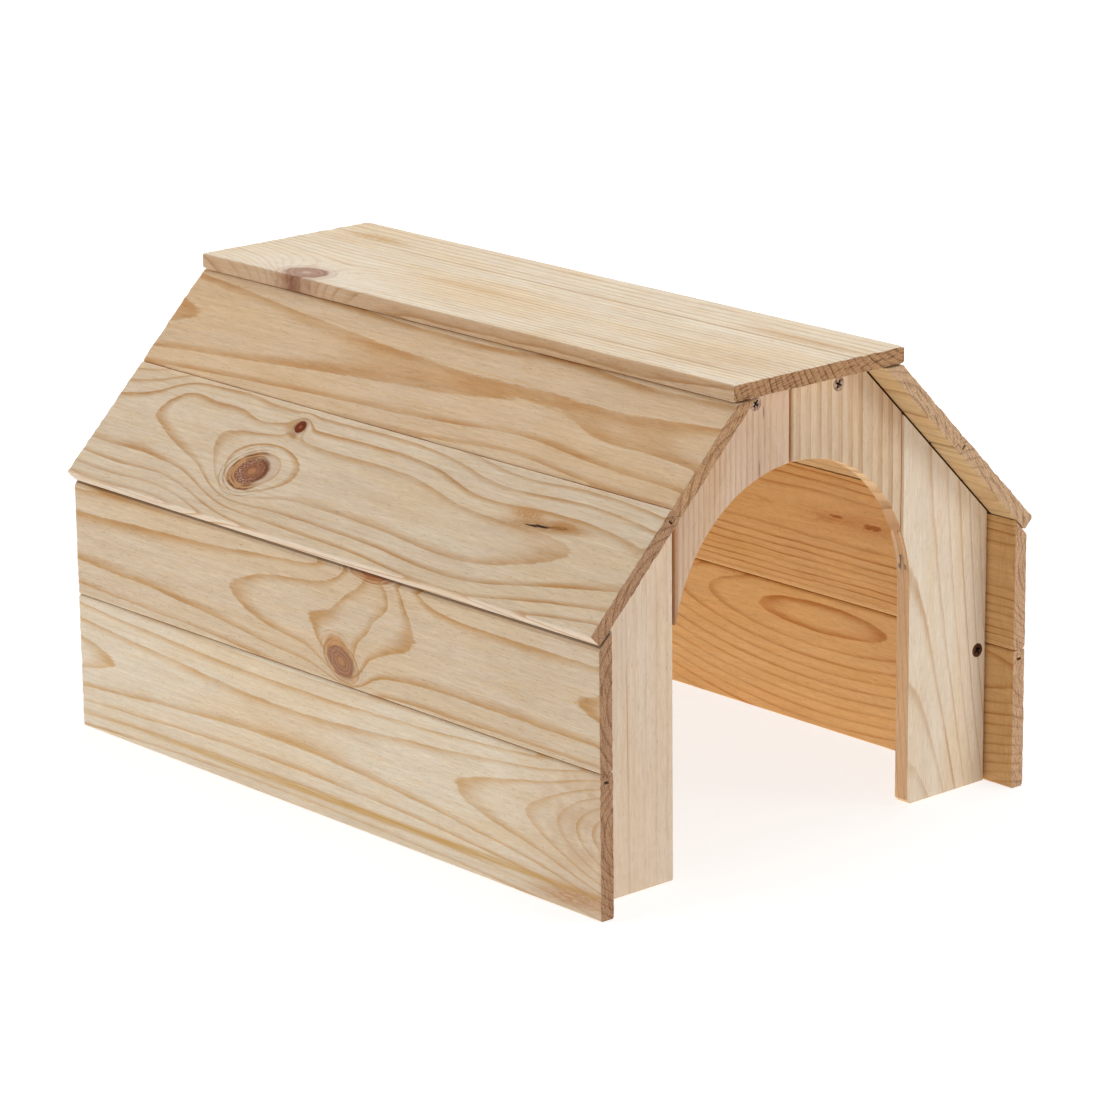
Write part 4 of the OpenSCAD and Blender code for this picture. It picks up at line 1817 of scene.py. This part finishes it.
@dataclass(frozen=True)
class Studio:
    """The pale floor, the soft light and the camera.

    Attributes:
        floor_size: Side of the floor, in metres.
        bounce: Grey of the floor as the house is lit by it.
        table: Light of the floor itself below the house and around it, as it is a softly lit table.
        table_half: Half sides of the part of the floor below the house, in metres.
        table_edge: Shares of those half sides between which the light changes.
        glow: Plain white that the camera sees in the floor besides its lit share, for a soft shadow.
        lit_share: Share of the floor's light and shadow that the camera sees.
        shadow_reach: Distances between which the floor turns plain white, in metres.
        sky: Strength of the even light all round.
        aim: The point that the lamps face, in metres.
        eye: Where the camera stands, in metres.
        turn: The camera's turn about the upright, its tilt and its roll, in degrees.
        lens: Focal length on a picture of the sensor's width.
        sensor: Width of the camera's sensor.
    """

    floor_size: float = 12.0
    bounce: float = 0.82
    table: Place = (0.86, 0.42)
    table_half: Place = (0.126, 0.166)
    table_edge: Place = (0.9, 1.1)
    glow: float = 0.74
    lit_share: float = 0.45
    shadow_reach: Place = (0.35, 1.0)
    sky: float = 0.15
    lamps: tuple[Lamp, ...] = (
        Lamp("left_softbox", (-2.4, 1.2, 0.8), 1.4, 22.3), Lamp("front_softbox", (1.6, -2.2, 0.8), 1.4, 22.2),
        Lamp("overhead_softbox", (0.2, 0.1, 2.2), 2.0, 31.5),
    )
    aim: Triple = (0.0, 0.0, 0.11)
    eye: Triple = (-1.39247, -1.58477, 0.70564)
    turn: Triple = (-41.562, 73.922, -0.62)
    lens: float = 148.03
    sensor: float = 36.0

    def show(self, sheet: NodeSheet, kind: str, lit: Wire, seen: Wire) -> None:
        """Ends a tree with two shaders.

        Args:
            sheet: The tree.
            kind: The output node's type name.
            lit: What lights the house.
            seen: What the camera sees, directly or in a reflection.
        """
        path = sheet.add("ShaderNodeLightPath").outputs
        rays = [Wire(sheet, path[f"Is {name} Ray"]) for name in ("Camera", "Glossy", "Transmission")]
        share = rays[0].apply("MAXIMUM", rays[1].apply("MAXIMUM", rays[2]))
        sheet.add(kind, {"Surface": sheet.wire("ShaderNodeMixShader", {0: share, 1: lit, 2: seen})})

    def shining(self, sheet: NodeSheet, grey: float, light: Wire) -> Wire:
        """Adds a dull grey surface that also gives light.

        Args:
            sheet: The tree.
            grey: How much light it throws back.
            light: How much light it gives.

        Returns:
            The surface's shader.
        """
        dull = sheet.wire("ShaderNodeBsdfDiffuse", {"Color": (grey, grey, grey, 1.0)})
        shine = sheet.wire("ShaderNodeEmission", {"Strength": light})
        return sheet.wire("ShaderNodeAddShader", {0: dull, 1: shine})

    def floor(self) -> None:
        """Makes the floor, which keeps the house's shadow."""
        half = self.floor_size / 2
        mesh = bpy.data.meshes.new("studio_floor")
        mesh.from_pydata([(-half, -half, 0.0), (half, -half, 0.0), (half, half, 0.0), (-half, half, 0.0)], [],
                         [(0, 1, 2, 3)])
        material, sheet, _ = new_material("studio_floor")
        sheet.tree.nodes.clear()
        place = sheet.wire("ShaderNodeTexCoord", output="Object")
        across, along, _ = abs(place / (*self.table_half, 1.0)).parts()
        table = across.apply("MAXIMUM", along).step(*self.table_edge, *self.table)
        white = place.apply("LENGTH").step(*self.shadow_reach, self.glow, 1.0)
        self.show(sheet, "ShaderNodeOutputMaterial", self.shining(sheet, self.bounce, table),
                  self.shining(sheet, self.lit_share, white))
        mesh.materials.append(material)
        new_object("studio_floor", mesh)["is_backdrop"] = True

    def world(self) -> None:
        """Makes the even light all round, which the camera sees as white."""
        world = bpy.data.worlds.new("studio")
        world.use_nodes = True
        bpy.context.scene.world = world
        world.node_tree.nodes.clear()
        sheet = NodeSheet(world.node_tree)
        even, white = (
            sheet.wire("ShaderNodeBackground", {"Color": WHITE, "Strength": strength})
            for strength in (self.sky, 1.0)
        )
        self.show(sheet, "ShaderNodeOutputWorld", even, white)

    def camera(self) -> None:
        """Makes the camera at the picture's viewing angle."""
        data = bpy.data.cameras.new("camera")
        data.sensor_width = self.sensor
        data.lens = self.lens
        yaw, tilt, roll = (math.radians(angle) for angle in self.turn)
        turn = Matrix.Rotation(yaw, 4, "Z") @ Matrix.Rotation(tilt, 4, "X") @ Matrix.Rotation(roll, 4, "Z")
        camera = new_object("camera", data)
        camera.matrix_world = Matrix.Translation(self.eye) @ turn
        bpy.context.scene.camera = camera

    def build(self) -> None:
        """Sets up the whole studio."""
        self.camera()
        self.floor()
        self.world()
        for lamp in self.lamps:
            lamp.build(Vector(self.aim))
        bpy.context.scene.view_settings.view_transform = "Standard"


def write_sizes() -> None:
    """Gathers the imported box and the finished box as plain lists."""
    boxes = {"cad": CAD_BOX, "visual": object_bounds()}
    plain = {name: [list(corner) for corner in box] for name, box in boxes.items()}


def main() -> None:
    """Builds the studio and the house, sub-assembly by sub-assembly."""
    logging.basicConfig(level=logging.INFO, format="%(message)s")
    Studio().build()
    for part in (SideWalls(), RoofSlopes(), TopBoard(), Gables(), Battens()):
        for timber in part.boards():
            timber.build()
    Screws().build()
    Staples().build()
    write_sizes()


if __name__ == "__main__":
    main()
